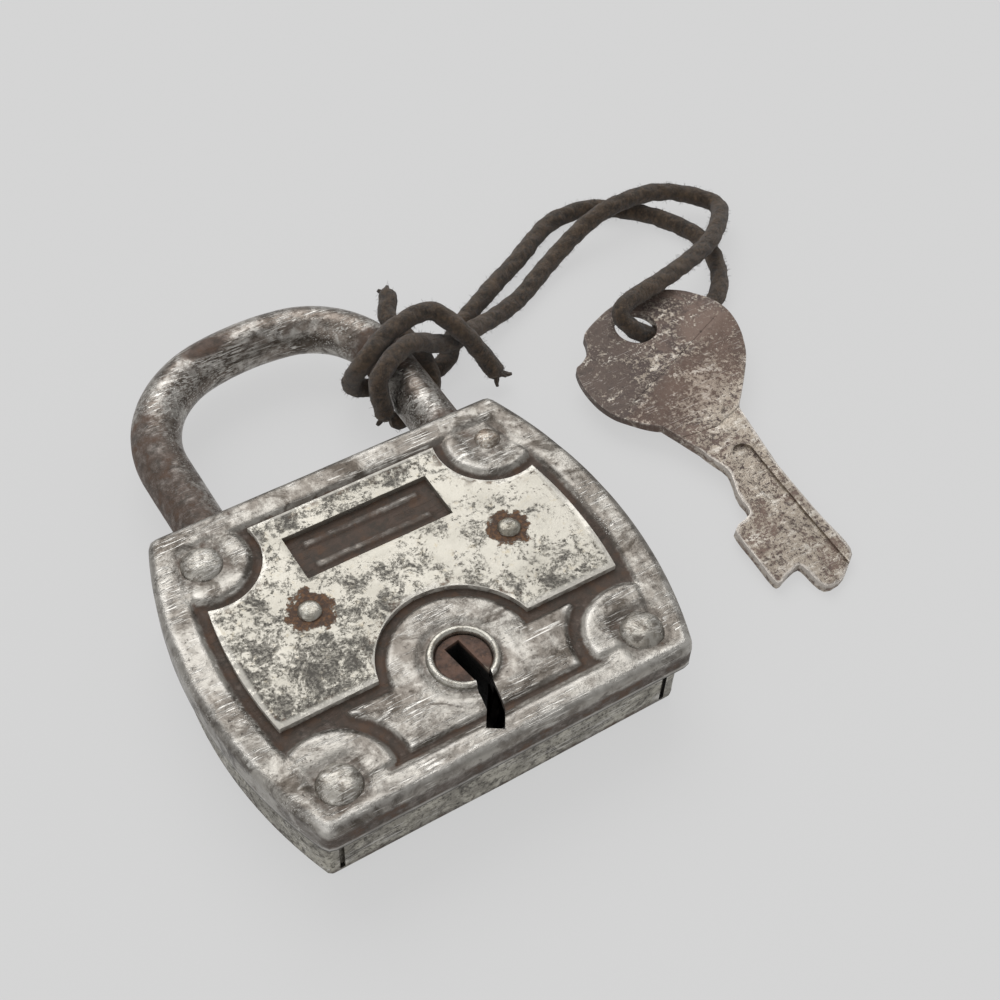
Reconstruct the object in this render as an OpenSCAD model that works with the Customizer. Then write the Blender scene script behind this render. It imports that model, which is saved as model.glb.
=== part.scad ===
// Old pressed-steel padlock with its flat key tied to the shackle by a cord.
// It lies on its back: +Z is the front face, +Y points to the shackle's arch.
// The origin is the centre of the case's flat back face.

/* [Case] */
// Widest part of the case, at half its height
case_w = 65; // [56:1:90]
// Height of the case, bottom edge to top edge
case_h = 52; // [48:1:70]
// Total thickness of the case, back face to rim
case_t = 14.4; // [12:0.2:20]
// How much each side bulges past the straight ends
side_bulge = 5.3; // [3:0.1:8]
// Radius of the case's four corners
corner_r = 1.5; // [0.8:0.1:3]
// Thickness of the pressed steel sheet
sheet = 0.9; // [0.6:0.05:1]
// Depth of the cover's turned-down lip
lip_h = 4.8; // [3:0.1:6]
// Gap between the lip and the back tray inside it
tray_gap = 0.3; // [0.1:0.05:0.6]
// Width of the open slits where the tray's walls meet
slit_w = 0.75; // [0.4:0.05:1.2]

/* [Front relief] */
// Width of the raised rim round the front
rim_w = 4.8; // [3.5:0.1:6]
// Depth of the field pressed in inside the rim
relief = 0.8; // [0.5:0.05:1]
// Width of the open groove between raised parts
groove_w = 1.4; // [0.8:0.1:2]
// Radius of the raised pads at the two upper corners
pad_top_r = 6.8; // [5.5:0.1:8]
// Radius of the raised pads at the two lower corners
pad_bottom_r = 8; // [6:0.1:9]
// Side of the square recess in each corner pad
recess_w = 7; // [6:0.1:8]
// Depth of that recess
recess_depth = 0.6; // [0.3:0.05:0.8]

/* [Name plate] */
// Thickness of the name plate
plate_t = 0.9; // [0.6:0.05:1.2]
// Distance of the plate's top edge from the case's top edge
plate_top = 5.2; // [4.5:0.1:7]
// Distance of the plate's bottom edge from the case's bottom edge
plate_bottom = 16; // [14:0.1:18]
// Width of the window cut in the plate
window_w = 22.6; // [16:0.1:26]
// Height of that window
window_h = 7.8; // [6:0.1:9]
// Distance of the window's middle from the plate's top edge
window_down = 7.9; // [7:0.1:9]
// Radius of the arch cut round the keyhole
arch_r = 11.5; // [10:0.1:13]
// Diameter of the plate rivets' shanks
plate_rivet_d = 2; // [1.5:0.1:2.4]
// Diameter of the plate rivets' heads
plate_head_d = 3.3; // [2.8:0.1:4]

/* [Corner rivets] */
// Distance of the rivets from the corners of the case, across
rivet_in = 4.6; // [4.2:0.1:6]
// Distance of the upper rivets from the top edge
rivet_top = 7.4; // [6.5:0.1:9]
// Distance of the lower rivets from the bottom edge
rivet_bottom = 5.6; // [5:0.1:8]
// Shank diameter of the three large rivets
rivet_d = 3; // [2.5:0.1:3.4]
// Head diameter of the three large rivets
head_d = 5.7; // [5:0.1:6.5]
// Shank diameter of the small rivet beside the shackle's toe
toe_rivet_d = 2; // [1.6:0.1:2.4]
// Head diameter of that small rivet
toe_head_d = 3.7; // [3:0.1:4.5]

/* [Shackle] */
// Diameter of the shackle's round bar
bar_d = 7.6; // [6:0.1:9.2]
// Height of the bar's centre above the middle of the case
bar_rise = 0.1; // [0:0.05:0.4]
// Distance of the heel leg from its pivot rivet, across
heel_in = 4.4; // [4:0.1:5]
// Distance of the toe leg from the small rivet, across
toe_in = 1.8; // [1.5:0.1:2.2]
// Length of the heel leg above the case before it bends
heel_rise = 15.3; // [10:0.1:30]
// Length of the toe leg above the case before it bends
toe_rise = 19.5; // [10:0.1:30]
// Bend radius of the shoulder over the heel leg
heel_bend = 17.5; // [10:0.1:20]
// Bend radius of the shoulder over the toe leg
toe_bend = 13.4; // [10:0.1:20]
// Bend radius of the crown between them
crown_bend = 37.4; // [34:0.1:60]
// Thickness of the flattened heel round the pivot rivet
eye_t = 5; // [4:0.1:6]
// Outer radius of the heel's eye
eye_r = 3.6; // [3:0.1:3.8]
// How far the toe reaches into the case
toe_depth = 14.2; // [12:0.1:17]

/* [Mechanism] */
// Distance of the keyhole's centre from the case's bottom edge
keyhole_up = 13.75; // [12:0.05:16]
// Radius of the turning key plug
plug_r = 3.8; // [3.4:0.1:4.2]
// Width of the keyway
keyway_w = 2.4; // [1.8:0.1:2.8]
// Thickness of the bolt
bolt_t = 3; // [2:0.1:4]
// Travel of the bolt
bolt_throw = 2; // [1.5:0.1:2.4]
// Height of the bolt's bar
bolt_bar = 6; // [5:0.1:7]
// Height of the bolt's nose
nose_w = 3; // [2:0.1:4]
// Diameter of the bolt's guide pins
guide_d = 2.4; // [2:0.1:3]

/* [Fits] */
// Clearance round a turning or sliding fit
running = 0.05; // [0.03:0.01:0.1]
// Free space beside a part that swings or slides
free = 0.35; // [0.25:0.05:0.5]

/* [Key] */
// Width of the key's bow
bow_w = 30; // [24:0.5:36]
// Height of the key's bow
bow_h = 26.4; // [22:0.2:30]
// Thickness of the key
key_t = 1.6; // [1.2:0.1:2]
// Diameter of the hole in the bow
key_hole_d = 7; // [5.5:0.1:8]
// Width of the key's blade
blade_w = 8.4; // [6:0.1:9]
// Length of the blade, tip to bow
blade_l = 35.2; // [30:0.1:40]
// How far the bit stands out beside the blade
bit_w = 5.1; // [3:0.1:6]
// Length of the bit along the blade
bit_l = 11.3; // [8:0.1:13]
// Distance from the tip to the bit
bit_up = 4.4; // [3:0.1:8]
// Lean of the key, whose bow lies on the cord
key_lean = 3.6; // [3.4:0.1:4.5]

/* [Cord] */
// Diameter of the cord
cord_d = 3.2; // [2:0.1:3.4]

/* [Hidden] */
$fn = 64;

steel = "#8f8a80";
worn_steel = "#a8a399";
plate_colour = "#cfcbc0";
brown_steel = "#6f6257";
key_colour = "#85766f";
cord_colour = "#4f443a";

// Case outline: side arcs and straight ends
end_w = case_w - 2 * side_bulge;
side_r = (pow(case_h / 2, 2) + pow(side_bulge, 2)) / (2 * side_bulge);
side_off = side_r - case_w / 2;
top_y = case_h / 2;

// Levels through the case
field_z = case_t - relief;
cover_under = field_z - sheet;
rim_under = case_t - sheet;
plate_z = field_z + plate_t;
tray_in = sheet + tray_gap;

// Name plate, its window and its two rivets
window_x = -0.2;
window_y = top_y - plate_top - window_down;
bar_inset = 2;
bar_w = 1.2;
bar_h = 0.4;
plate_rivets = [[-13.8, top_y - 21.9], [16.4, top_y - 23.2]];
plate_head_h = 0.8;

// Corner rivets
rivet_x = end_w / 2 - rivet_in;
rivet_top_y = top_y - rivet_top;
rivet_low_y = -top_y + rivet_bottom;
recess_z = case_t - recess_depth;
hump_w = 2 * (rivet_x - 5.4);
head_h = 1.5;
toe_head_h = 1;
sleeve_wall = 1.2;

// Shackle
pivot = [-rivet_x, rivet_top_y];
toe_pin = [rivet_x, rivet_top_y];
bar_r = bar_d / 2;
bar_z = case_t / 2 + bar_rise;
heel_x = pivot[0] + heel_in;
toe_x = toe_pin[0] - toe_in;
span = toe_x - heel_x;
heel_bend_r = min(heel_bend, 0.46 * span);
toe_bend_r = min(toe_bend, 0.36 * span);
bar_sides = 32;
// The legs are exact cylinders that end this far below the bends
leg_join = 6;
// The bent bar is this much smaller in radius, so that it seats inside the legs' ends
seam = 0.02;
heel_top = top_y + heel_rise;
toe_top = top_y + toe_rise;
// The flat heel runs up to here, a little narrower than the bar
neck_y = top_y - 3;
neck_r = bar_r - 0.3;
toe_flat_x = toe_pin[0] - toe_rivet_d / 2 - 1;
toe_end = top_y - toe_depth;
toe_left = toe_x - bar_r;
// Room for the heel's edge and for the toe to swing out through the top wall
heel_room = 4;
toe_room = 0.8;
wall_cut = 4;

// Bolt
bolt_z = bar_z - bolt_t / 2;
bolt_y = toe_end + 3.7;
nose_gap = 0.4;
nose_x = toe_left - nose_gap;
notch_end_play = 0.25;
notch_side_play = 0.75;
notch_depth = bolt_throw - nose_gap + notch_end_play;
notch_low = bolt_y - nose_w / 2 - notch_side_play;
notch_high = bolt_y + nose_w / 2 + notch_side_play;
guide_x = [-7, 8];
guide_slot = guide_d + 0.2;
shoulder_d = 5;
bolt_end = 4;
tail_w = 10;
talon_w = 4;
talon_h = 3;

// Leaf spring over the bolt
leaf_t = 0.5;
leaf_half = 10.5;
leaf_x = 0.5;
leaf_low = bolt_y + bolt_bar / 2 + 2 * running;
leaf_high = top_y - tray_in - sheet - running;

// Key plug
keyhole_y = -top_y + keyhole_up;
plug_hole_r = plug_r + 0.1;
ring_w = 0.9;
ring_h = 0.7;
flange_r = plug_r + 1.4;
flange_t = 1.4;
plug_top = case_t - 0.5;
plug_low = sheet + 0.1;
bit_reach = 11.3;
tail_low = keyhole_y + 6.4;
collar_wall = 1.3;
collar_h = 1.2;
ward_r = 6.4;
ward_wall = 0.8;
ward_h = 2.6;
ward_gap = 6;
// Middle line of the keyway, from the keyhole's centre
keyway = [[-0.3, 2.6], [0.7, -3.6], [0.1, -5.9], [-0.4, -8.7], [-2.1, -bit_reach]];

// Key, along its own Y from the tip
bow_mid = blade_l + bow_h / 2;
bow_shift = 1.4;
key_at = [59.7, -21.4];
hole_up = blade_l + 20.4;
hole_shift = 0.9;
notch_up = 6.6;
notch_r = 3;
collar_w = 0.8;
collar_up = 2.6;
cheek = 11;
cheek_low = 8;

// Cord from its frayed end E3 through the knot, round the loop, through the key and back
cord_route = [
    [37, 38, 2], [36.4, 39.1, 3.6], [35.2, 40.6, 6], [33.9, 41.8, 8.5], [32.4, 43.4, 10.6],
    [31.4, 45.1, 11.6], [30, 46.8, 12.5], [27.5, 47, 13], [24, 46.3, 13.1],
    [20.1, 45, 13.1], [16.4, 42.9, 12.7], [14.6, 42.8, 11], [14.1, 44, 8], [14.7, 45.8, 4.6],
    [17.2, 46.6, 1.8], [20.8, 45.6, 1.6], [26, 44.4, 1.6], [30.5, 44.9, 1.6],
    [33.2, 46.7, 1.6], [36.2, 50.2, 1.6], [40.8, 53, 1.6], [47.9, 56.8, 1.6],
    [54.4, 60, 1.6], [61.6, 64.1, 1.6], [66, 65.6, 1.6], [72.8, 65.2, 1.6],
    [78.6, 61, 1.6], [82.2, 56.7, 1.6], [84.7, 51.6, 1.6], [85.2, 47, 1.6], [83.2, 41, 1.6],
    [79.5, 36.2, 1.6], [74, 33.4, 1.6], [68, 32.8, 1.6], [64.4, 33, 1.9], [61.7, 33.5, 3.3],
    [59.9, 34.3, 5], [58.6, 35.6, 6.6], [59.8, 37, 7.3], [63, 37.8, 7.4], [69.3, 39.1, 7.2],
    [75.7, 41.1, 6.5], [82.7, 44.1, 5.4], [86.5, 46.8, 4.9], [89.8, 50, 4], [91.6, 52.6, 3.5],
    [91, 55.2, 3.3], [87, 58.7, 4], [82.4, 60.2, 4.8], [77, 60.4, 5.2], [71.2, 60, 4.9],
    [65.4, 58.9, 3.4], [57.4, 55.8, 1.9], [50, 52, 1.6], [43.5, 49.6, 2.2],
    [38.3, 47.5, 4], [34.4, 45.3, 5.8], [31, 44, 7.2], [28, 43.4, 9.2], [25.1, 42.4, 11.9],
    [22.4, 41.8, 13], [19.5, 40.6, 13.1], [17, 39.2, 12.8], [15.2, 38, 11.6],
    [15.3, 37.2, 9], [15.4, 36, 5.6]
];
// Short tie beside the knot, from its frayed end down and under the toe leg
tie_route = [
    [28.6, 59.9, 6.5], [28, 57.3, 6.5], [26.4, 55.8, 6.5], [25.9, 53.2, 6.5],
    [26.4, 50.5, 6.4], [26.8, 47.5, 6.2], [26.7, 44.2, 6], [26.3, 41, 5.2],
    [24.6, 38.8, 2.8], [21, 38, 1.65], [17.4, 38.3, 1.65]
];
cord_sides = 8;

// ---- Outlines ----

// Points of an arc about c, from angle a to angle b
function arc(c, r, a, b, steps) =
    [for (i = [0:steps]) let (t = a + (b - a) * i / steps) c + r * [cos(t), sin(t)]];

// The case's outline, moved in by d, as points
function outline(d) =
    let (
        r = side_r - d,
        end_y = top_y - d,
        f = max(0.2, corner_r - d),
        cy = end_y - f,
        cx = sqrt(pow(r - f, 2) - cy * cy) - side_off,
        a = atan2(cy, cx + side_off),
        right = concat(
            arc([cx, -cy], f, -90, -a, 4),
            arc([-side_off, 0], r, -a, a, 24),
            arc([cx, cy], f, a, 90, 4))
    )
    concat(right, [for (p = right) -p]);

module case_shape(d = 0) {
    polygon(outline(d));
}

// A slab of the case's outline between two levels
module case_slab(d, z0, z1) {
    translate([0, 0, z0]) linear_extrude(z1 - z0) case_shape(d);
}

// Strip of even width along a line of points
function strip(line, w) =
    let (
        n = len(line) - 1,
        side = [for (i = [0:n])
            let (u = line[min(i + 1, n)] - line[max(i - 1, 0)])
            [-u[1], u[0]] / norm(u) * w / 2]
    )
    concat([for (i = [0:n]) line[i] + side[i]], [for (i = [n:-1:0]) line[i] - side[i]]);

module keyway_cut(z0, z1) {
    translate([0, keyhole_y, z0]) linear_extrude(z1 - z0) polygon(strip(keyway, keyway_w));
}

module at_rivets() {
    for (p = [pivot, toe_pin, [-rivet_x, rivet_low_y], [rivet_x, rivet_low_y]])
        translate([p[0], p[1], 0]) children();
}

// Raised hump round the keyhole, a bell shape between the lower pads
module hump_shape() {
    difference() {
        intersection() {
            union() {
                translate([0, keyhole_y]) circle(arch_r - groove_w);
                translate([0, -top_y])
                    square([hump_w, 2 * (plate_bottom - groove_w)], center = true);
            }
            case_shape(rim_w - groove_w / 2);
        }
        for (s = [-1, 1])
            translate([s * rivet_x, rivet_low_y]) circle(pad_bottom_r + groove_w);
    }
}

// The field pressed in between the rim, the pads and the hump
module field_shape() {
    difference() {
        case_shape(rim_w);
        translate([-rivet_x, rivet_top_y]) circle(pad_top_r);
        translate([rivet_x, rivet_top_y]) circle(pad_top_r);
        translate([-rivet_x, rivet_low_y]) circle(pad_bottom_r);
        translate([rivet_x, rivet_low_y]) circle(pad_bottom_r);
        hump_shape();
    }
}

// Openings for the two legs of the shackle in the top wall, between two levels
module leg_openings(z0, z1) {
    heel_left = pivot[0] - heel_room;
    toe_right = toe_x + bar_r + free;
    translate([heel_left, neck_y, z0])
        cube([heel_x + bar_r + free - heel_left, wall_cut, z1 - z0]);
    translate([toe_left - free - toe_room, neck_y, z0])
        cube([toe_right - toe_left + free + toe_room, wall_cut, z1 - z0]);
}

// ---- Case ----

module back_tray() {
    color(steel) difference() {
        union() {
            case_slab(tray_in, 0, sheet);
            difference() {
                case_slab(tray_in, sheet / 2, rim_under);
                case_slab(tray_in + sheet, 0, rim_under + 1);
            }
        }
        leg_openings(bar_z - bar_r - free, rim_under + 1);
        for (s = [-1, 1], t = [-1, 1])
            translate([s * (end_w / 2 - tray_in - sheet - slit_w / 2), t * (top_y - tray_in), 0])
                translate([-slit_w / 2, -sheet - 0.1, sheet])
                    cube([slit_w, 2 * sheet + 0.2, case_t]);
        at_rivets() translate([0, 0, -1]) cylinder(d = rivet_d, h = 3);
        for (x = guide_x) translate([x, bolt_y, -1]) cylinder(d = guide_d, h = 3);
        translate([0, keyhole_y, -1]) cylinder(r = plug_r - 1, h = 3);
    }
}

module front_cover() {
    bar_len = window_w - 2 * bar_inset;
    color(worn_steel) {
        difference() {
            case_slab(0, case_t - lip_h, case_t);
            case_slab(sheet, 0, cover_under);
            difference() {
                case_slab(sheet, cover_under - 0.1, rim_under);
                case_slab(rim_w - sheet, cover_under - 0.2, case_t);
            }
            translate([0, 0, field_z]) linear_extrude(relief + 1) field_shape();
            at_rivets() translate([0, 0, recess_z + 1]) cube([recess_w, recess_w, 2], center = true);
            at_rivets() cylinder(d = rivet_d, h = case_t + 1);
            for (p = plate_rivets) translate([p[0], p[1], 0])
                cylinder(d = plate_rivet_d, h = case_t + 1);
            translate([0, keyhole_y, 0]) cylinder(r = plug_hole_r, h = case_t + 1);
            keyway_cut(cover_under - 1, case_t + 1);
            leg_openings(0, bar_z + bar_r + free);
        }
        for (s = [-1, 1])
            translate([window_x - bar_len / 2, window_y + s * window_h / 4 - bar_w / 2, field_z])
                cube([bar_len, bar_w, bar_h]);
    }
}

module name_plate() {
    color(plate_colour) translate([0, 0, field_z]) linear_extrude(plate_t) difference() {
        intersection() {
            case_shape(rim_w + groove_w);
            translate([-case_w / 2, -top_y + plate_bottom])
                square([case_w, case_h - plate_top - plate_bottom]);
        }
        for (s = [-1, 1])
            translate([s * rivet_x, rivet_top_y]) circle(pad_top_r + groove_w);
        translate([0, keyhole_y]) circle(arch_r);
        translate([window_x, window_y]) square([window_w, window_h], center = true);
        for (p = plate_rivets) translate(p) circle(d = plate_rivet_d);
    }
}

// ---- Rivets and sleeves ----

// Low domed head of a rivet, its flat side at z = 0
module dome(d, h) {
    r = (d * d / 4 + h * h) / (2 * h);
    intersection() {
        translate([0, 0, h - r]) sphere(r);
        cylinder(d = d, h = h + 1);
    }
}

module plate_rivet(p) {
    color(plate_colour) translate([p[0], p[1], 0]) {
        translate([0, 0, cover_under]) cylinder(d = plate_rivet_d, h = plate_z - cover_under);
        translate([0, 0, plate_z]) dome(plate_head_d, plate_head_h);
    }
}

// Rivet through the whole case: shank, and a head on the pad's recess
module case_rivet(p, shank_d, top_d, top_h) {
    color(steel) translate([p[0], p[1], 0]) {
        cylinder(d = rivet_d, h = sheet);
        cylinder(d = shank_d, h = cover_under);
        translate([0, 0, cover_under]) cylinder(d = rivet_d, h = recess_z - cover_under);
        translate([0, 0, recess_z]) dome(top_d, top_h);
    }
}

// Tube round a rivet's shank between two levels
module sleeve(p, z0, z1) {
    color(steel) translate([p[0], p[1], z0]) difference() {
        cylinder(d = rivet_d + 2 * sleeve_wall, h = z1 - z0);
        translate([0, 0, -1]) cylinder(d = rivet_d, h = z1 - z0 + 2);
    }
}

// ---- Shackle ----

module along_y(x, y0, y1, r) {
    translate([x, y0, bar_z]) rotate([-90, 0, 0]) cylinder(r = r, h = y1 - y0);
}

// Middle line of the bent bar, from the toe leg over the crown to the heel leg
function arch_line() =
    let (
        heel_c = [heel_x + heel_bend_r, heel_top],
        toe_c = [toe_x - toe_bend_r, toe_top],
        // The crown's centre lies where both shoulders meet it with a common tangent
        d = norm(toe_c - heel_c),
        u = (toe_c - heel_c) / d,
        r1 = crown_bend - heel_bend_r,
        r2 = crown_bend - toe_bend_r,
        a = (r1 * r1 - r2 * r2 + d * d) / (2 * d),
        crown_c = heel_c + a * u + sqrt(r1 * r1 - a * a) * [u[1], -u[0]],
        heel_a = atan2(heel_c[1] - crown_c[1], heel_c[0] - crown_c[0]),
        toe_a = atan2(toe_c[1] - crown_c[1], toe_c[0] - crown_c[0]),
        step = (heel_a - toe_a) / 4
    )
    concat(
        [[toe_x, toe_top - leg_join - 1]],
        arc(toe_c, toe_bend_r, 0, toe_a, 10),
        arc(crown_c, crown_bend, toe_a + step, heel_a - step, 2),
        arc(heel_c, heel_bend_r, heel_a, 180, 10),
        [[heel_x, heel_top - leg_join - 1]]
    );

module shackle() {
    color(worn_steel) {
        tube([for (p = arch_line()) [p[0], p[1], bar_z]], bar_d - 2 * seam, bar_sides);
        difference() {
            union() {
                along_y(heel_x, neck_y - 1, heel_top - leg_join, bar_r);
                translate([0, 0, bar_z - eye_t / 2]) linear_extrude(eye_t) {
                    translate(pivot) circle(eye_r);
                    polygon([
                        pivot, pivot - [0, eye_r], pivot + [eye_r, -eye_r + 0.4],
                        [heel_x + neck_r, pivot[1] + 1], [heel_x + neck_r, neck_y],
                        [heel_x - neck_r, neck_y]
                    ]);
                }
            }
            translate([pivot[0], pivot[1], 0]) cylinder(r = rivet_d / 2 + running, h = case_t);
        }
        toe_leg(notch_high, toe_top - leg_join);
    }
}

// The toe leg between two heights, flat on its outer side inside the case
module toe_leg(y0, y1) {
    difference() {
        along_y(toe_x, y0, y1, bar_r);
        translate([toe_flat_x, toe_end - 1, 0]) cube([bar_d, neck_y - toe_end + 1, case_t]);
    }
}

// The bar beside the bolt's notch, and its end below the notch, each a convex solid
module shackle_toe_web() {
    color(worn_steel) difference() {
        toe_leg(notch_low, notch_high);
        translate([toe_left - 1, notch_low - 1, 0])
            cube([notch_depth + 1, notch_high - notch_low + 2, case_t]);
    }
}

module shackle_toe_tip() {
    color(worn_steel) toe_leg(toe_end, notch_low);
}

// ---- Mechanism ----

module bolt() {
    color(brown_steel) translate([0, 0, bolt_z]) linear_extrude(bolt_t) difference() {
        union() {
            translate([guide_x[0] - bolt_end, bolt_y - bolt_bar / 2])
                square([guide_x[1] - guide_x[0] + 2 * bolt_end, bolt_bar]);
            translate([0, bolt_y - nose_w / 2]) square([nose_x, nose_w]);
            translate([-tail_w / 2, tail_low]) square([tail_w, bolt_y - tail_low]);
        }
        translate([-talon_w / 2, tail_low - 1]) square([talon_w, talon_h + 1]);
        for (x = guide_x) translate([x, bolt_y]) {
            translate([-bolt_throw, -guide_slot / 2]) square([bolt_throw, guide_slot]);
            circle(d = guide_slot);
            translate([-bolt_throw, 0]) circle(d = guide_slot);
        }
    }
}

// Stepped pin through the back sheet: the bolt slides on its shoulder
module bolt_pin(x) {
    color(steel) translate([x, bolt_y, 0]) {
        cylinder(d = guide_d, h = cover_under);
        translate([0, 0, sheet]) cylinder(d = shoulder_d, h = bolt_z - running - sheet);
    }
}

// Bowed leaf between the case's top wall and the bolt's upper edge
module bolt_spring() {
    rise = leaf_high - leaf_low;
    r = (leaf_half * leaf_half + rise * rise) / (2 * rise);
    color(steel) translate([leaf_x, leaf_low, bolt_z]) linear_extrude(bolt_t) intersection() {
        difference() {
            translate([0, r]) circle(r);
            translate([0, r]) circle(r - leaf_t);
        }
        translate([-leaf_half, 0]) square([2 * leaf_half, rise]);
    }
}

module key_plug() {
    color(brown_steel) difference() {
        translate([0, keyhole_y, 0]) {
            translate([0, 0, plug_low]) cylinder(r = plug_r, h = plug_top - plug_low);
            translate([0, 0, cover_under - running - flange_t]) cylinder(r = flange_r, h = flange_t);
        }
        keyway_cut(-1, case_t + 1);
    }
}

module plug_bearing() {
    color(steel) translate([0, keyhole_y, sheet]) difference() {
        cylinder(r = plug_r + collar_wall, h = collar_h);
        translate([0, 0, -1]) cylinder(r = plug_r + running, h = collar_h + 2);
    }
}

// Curved fence on the back sheet, open where the key's bit goes in
module ward_ring() {
    color(steel) translate([0, keyhole_y, sheet]) difference() {
        cylinder(r = ward_r + ward_wall, h = ward_h);
        translate([0, 0, -1]) cylinder(r = ward_r, h = ward_h + 2);
        translate([-ward_gap / 2, -2 * ward_r, -1]) cube([ward_gap, 2 * ward_r, ward_h + 2]);
    }
}

module keyhole_ring() {
    color(worn_steel) difference() {
        translate([0, keyhole_y, case_t]) difference() {
            cylinder(r = plug_hole_r + ring_w, h = ring_h);
            translate([0, 0, -1]) cylinder(r = plug_hole_r, h = ring_h + 2);
        }
        keyway_cut(case_t - 1, case_t + 2);
    }
}

// ---- Key and cord ----

module key_flat() {
    side = (bow_w - bow_h) / 2;
    difference() {
        union() {
            translate([-blade_w / 2 + 0.5, 0]) square([blade_w - 1, bit_up + 1]);
            translate([-blade_w / 2, bit_up]) square([blade_w, blade_l - bit_up]);
            translate([-blade_w / 2 - bit_w, bit_up]) square([bit_w + 1, bit_l]);
            for (s = [-1, 1]) translate([bow_shift + s * side, bow_mid]) circle(d = bow_h);
            translate([bow_shift - side, bow_mid - bow_h / 2]) square([2 * side, bow_h]);
            polygon([
                [-blade_w / 2 - collar_w / 2, blade_l - collar_up],
                [blade_w / 2 + collar_w, blade_l - collar_up],
                [bow_shift + cheek, bow_mid - cheek_low],
                [bow_shift - cheek, bow_mid - cheek_low]
            ]);
        }
        translate([hole_shift, hole_up]) circle(d = key_hole_d);
        translate([bow_shift - bow_w / 2 + 0.6, bow_mid + notch_up]) circle(notch_r);
    }
}

module key() {
    color(key_colour) translate([key_at[0], key_at[1], 0]) rotate([key_lean, 0, 0])
        linear_extrude(key_t) key_flat();
}

// Direction of a route at each point
function headings(p) =
    let (n = len(p) - 1)
    [for (i = [0:n]) let (u = p[min(i + 1, n)] - p[max(i - 1, 0)]) u / norm(u)];

// Side vectors carried along the route without twist
function sides(t, i = 0, acc = []) =
    i == len(t) ? acc :
    let (
        last = i == 0 ? [0.12, 0.21, 1] : acc[i - 1],
        flat = last - (last * t[i]) * t[i]
    )
    sides(t, i + 1, concat(acc, [flat / norm(flat)]));

// Closed tube of m sides swept along a route
module tube(p, d, m) {
    t = headings(p);
    u = sides(t);
    n = len(p);
    rings = [for (i = [0:n - 1], j = [0:m - 1])
        let (a = 360 * j / m) p[i] + d / 2 * (cos(a) * u[i] + sin(a) * cross(t[i], u[i]))];
    skin = [for (i = [0:n - 2], j = [0:m - 1], h = [0, 1])
        let (
            k = (j + 1) % m,
            a = i * m + j,
            b = i * m + k
        )
        h == 0 ? [a, a + m, b] : [b, a + m, b + m]];
    start = [for (j = [0:m - 1]) j];
    finish = [for (j = [m - 1:-1:0]) (n - 1) * m + j];
    polyhedron(points = rings, faces = concat(skin, [start], [finish]));
}

module key_cord() {
    color(cord_colour) tube(cord_route, cord_d, cord_sides);
}

module cord_tie() {
    color(cord_colour) tube(tie_route, cord_d, cord_sides);
}

back_tray();
front_cover();
name_plate();
plate_rivet(plate_rivets[0]);  // plate_rivet_left
plate_rivet(plate_rivets[1]);  // plate_rivet_right
keyhole_ring();
key_plug();
plug_bearing();
ward_ring();
bolt();
bolt_pin(guide_x[0]);  // bolt_pin_left
bolt_pin(guide_x[1]);  // bolt_pin_right
bolt_spring();
shackle();
shackle_toe_web();
shackle_toe_tip();
sleeve(pivot, sheet, bar_z - eye_t / 2 - running);  // heel_collar_back
sleeve(pivot, bar_z + eye_t / 2 + running, cover_under);  // heel_collar_front
case_rivet(pivot, rivet_d, head_d, head_h);  // pivot_rivet
case_rivet(toe_pin, toe_rivet_d, toe_head_d, toe_head_h);  // toe_rivet
case_rivet([-rivet_x, rivet_low_y], rivet_d, head_d, head_h);  // rivet_bottom_left
case_rivet([rivet_x, rivet_low_y], rivet_d, head_d, head_h);  // rivet_bottom_right
sleeve([-rivet_x, rivet_low_y], sheet, cover_under);  // spacer_bottom_left
sleeve([rivet_x, rivet_low_y], sheet, cover_under);  // spacer_bottom_right
key();
key_cord();
cord_tie();
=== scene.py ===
"""Old pressed-steel padlock on its back, with its flat key tied to the shackle by a brown cord.

Pieces are worked out in millimetres, and each mesh is scaled to metres when it is finished.
"""

import math
import random

import bmesh
import bpy
import numpy as np
from mathutils import Matrix, Vector, noise


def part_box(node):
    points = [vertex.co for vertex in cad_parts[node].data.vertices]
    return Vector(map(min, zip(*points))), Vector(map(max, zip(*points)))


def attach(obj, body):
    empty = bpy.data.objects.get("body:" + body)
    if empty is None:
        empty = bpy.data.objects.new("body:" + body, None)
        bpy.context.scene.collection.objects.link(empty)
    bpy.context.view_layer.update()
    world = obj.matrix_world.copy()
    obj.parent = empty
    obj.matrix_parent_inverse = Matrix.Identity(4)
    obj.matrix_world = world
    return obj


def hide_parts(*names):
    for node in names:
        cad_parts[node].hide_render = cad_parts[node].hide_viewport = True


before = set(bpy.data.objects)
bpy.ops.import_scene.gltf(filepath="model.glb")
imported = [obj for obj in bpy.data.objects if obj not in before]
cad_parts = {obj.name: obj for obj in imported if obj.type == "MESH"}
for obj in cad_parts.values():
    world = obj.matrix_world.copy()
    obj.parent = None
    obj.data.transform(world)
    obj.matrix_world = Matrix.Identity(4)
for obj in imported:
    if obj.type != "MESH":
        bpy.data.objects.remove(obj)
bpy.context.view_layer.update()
MM = 0.001


def centre_of(node):
    """Middle of a CAD node, in millimetres."""
    low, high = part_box(node)
    return (low + high) / 2 / MM


# ---- Camera ----

VIEWPOINT = Vector((-63.964, -112.264, 190.642))
LOOK_DOWN, LOOK_ACROSS, TILT = 50.5, 34.3316, 3.2073  # degrees

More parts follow.
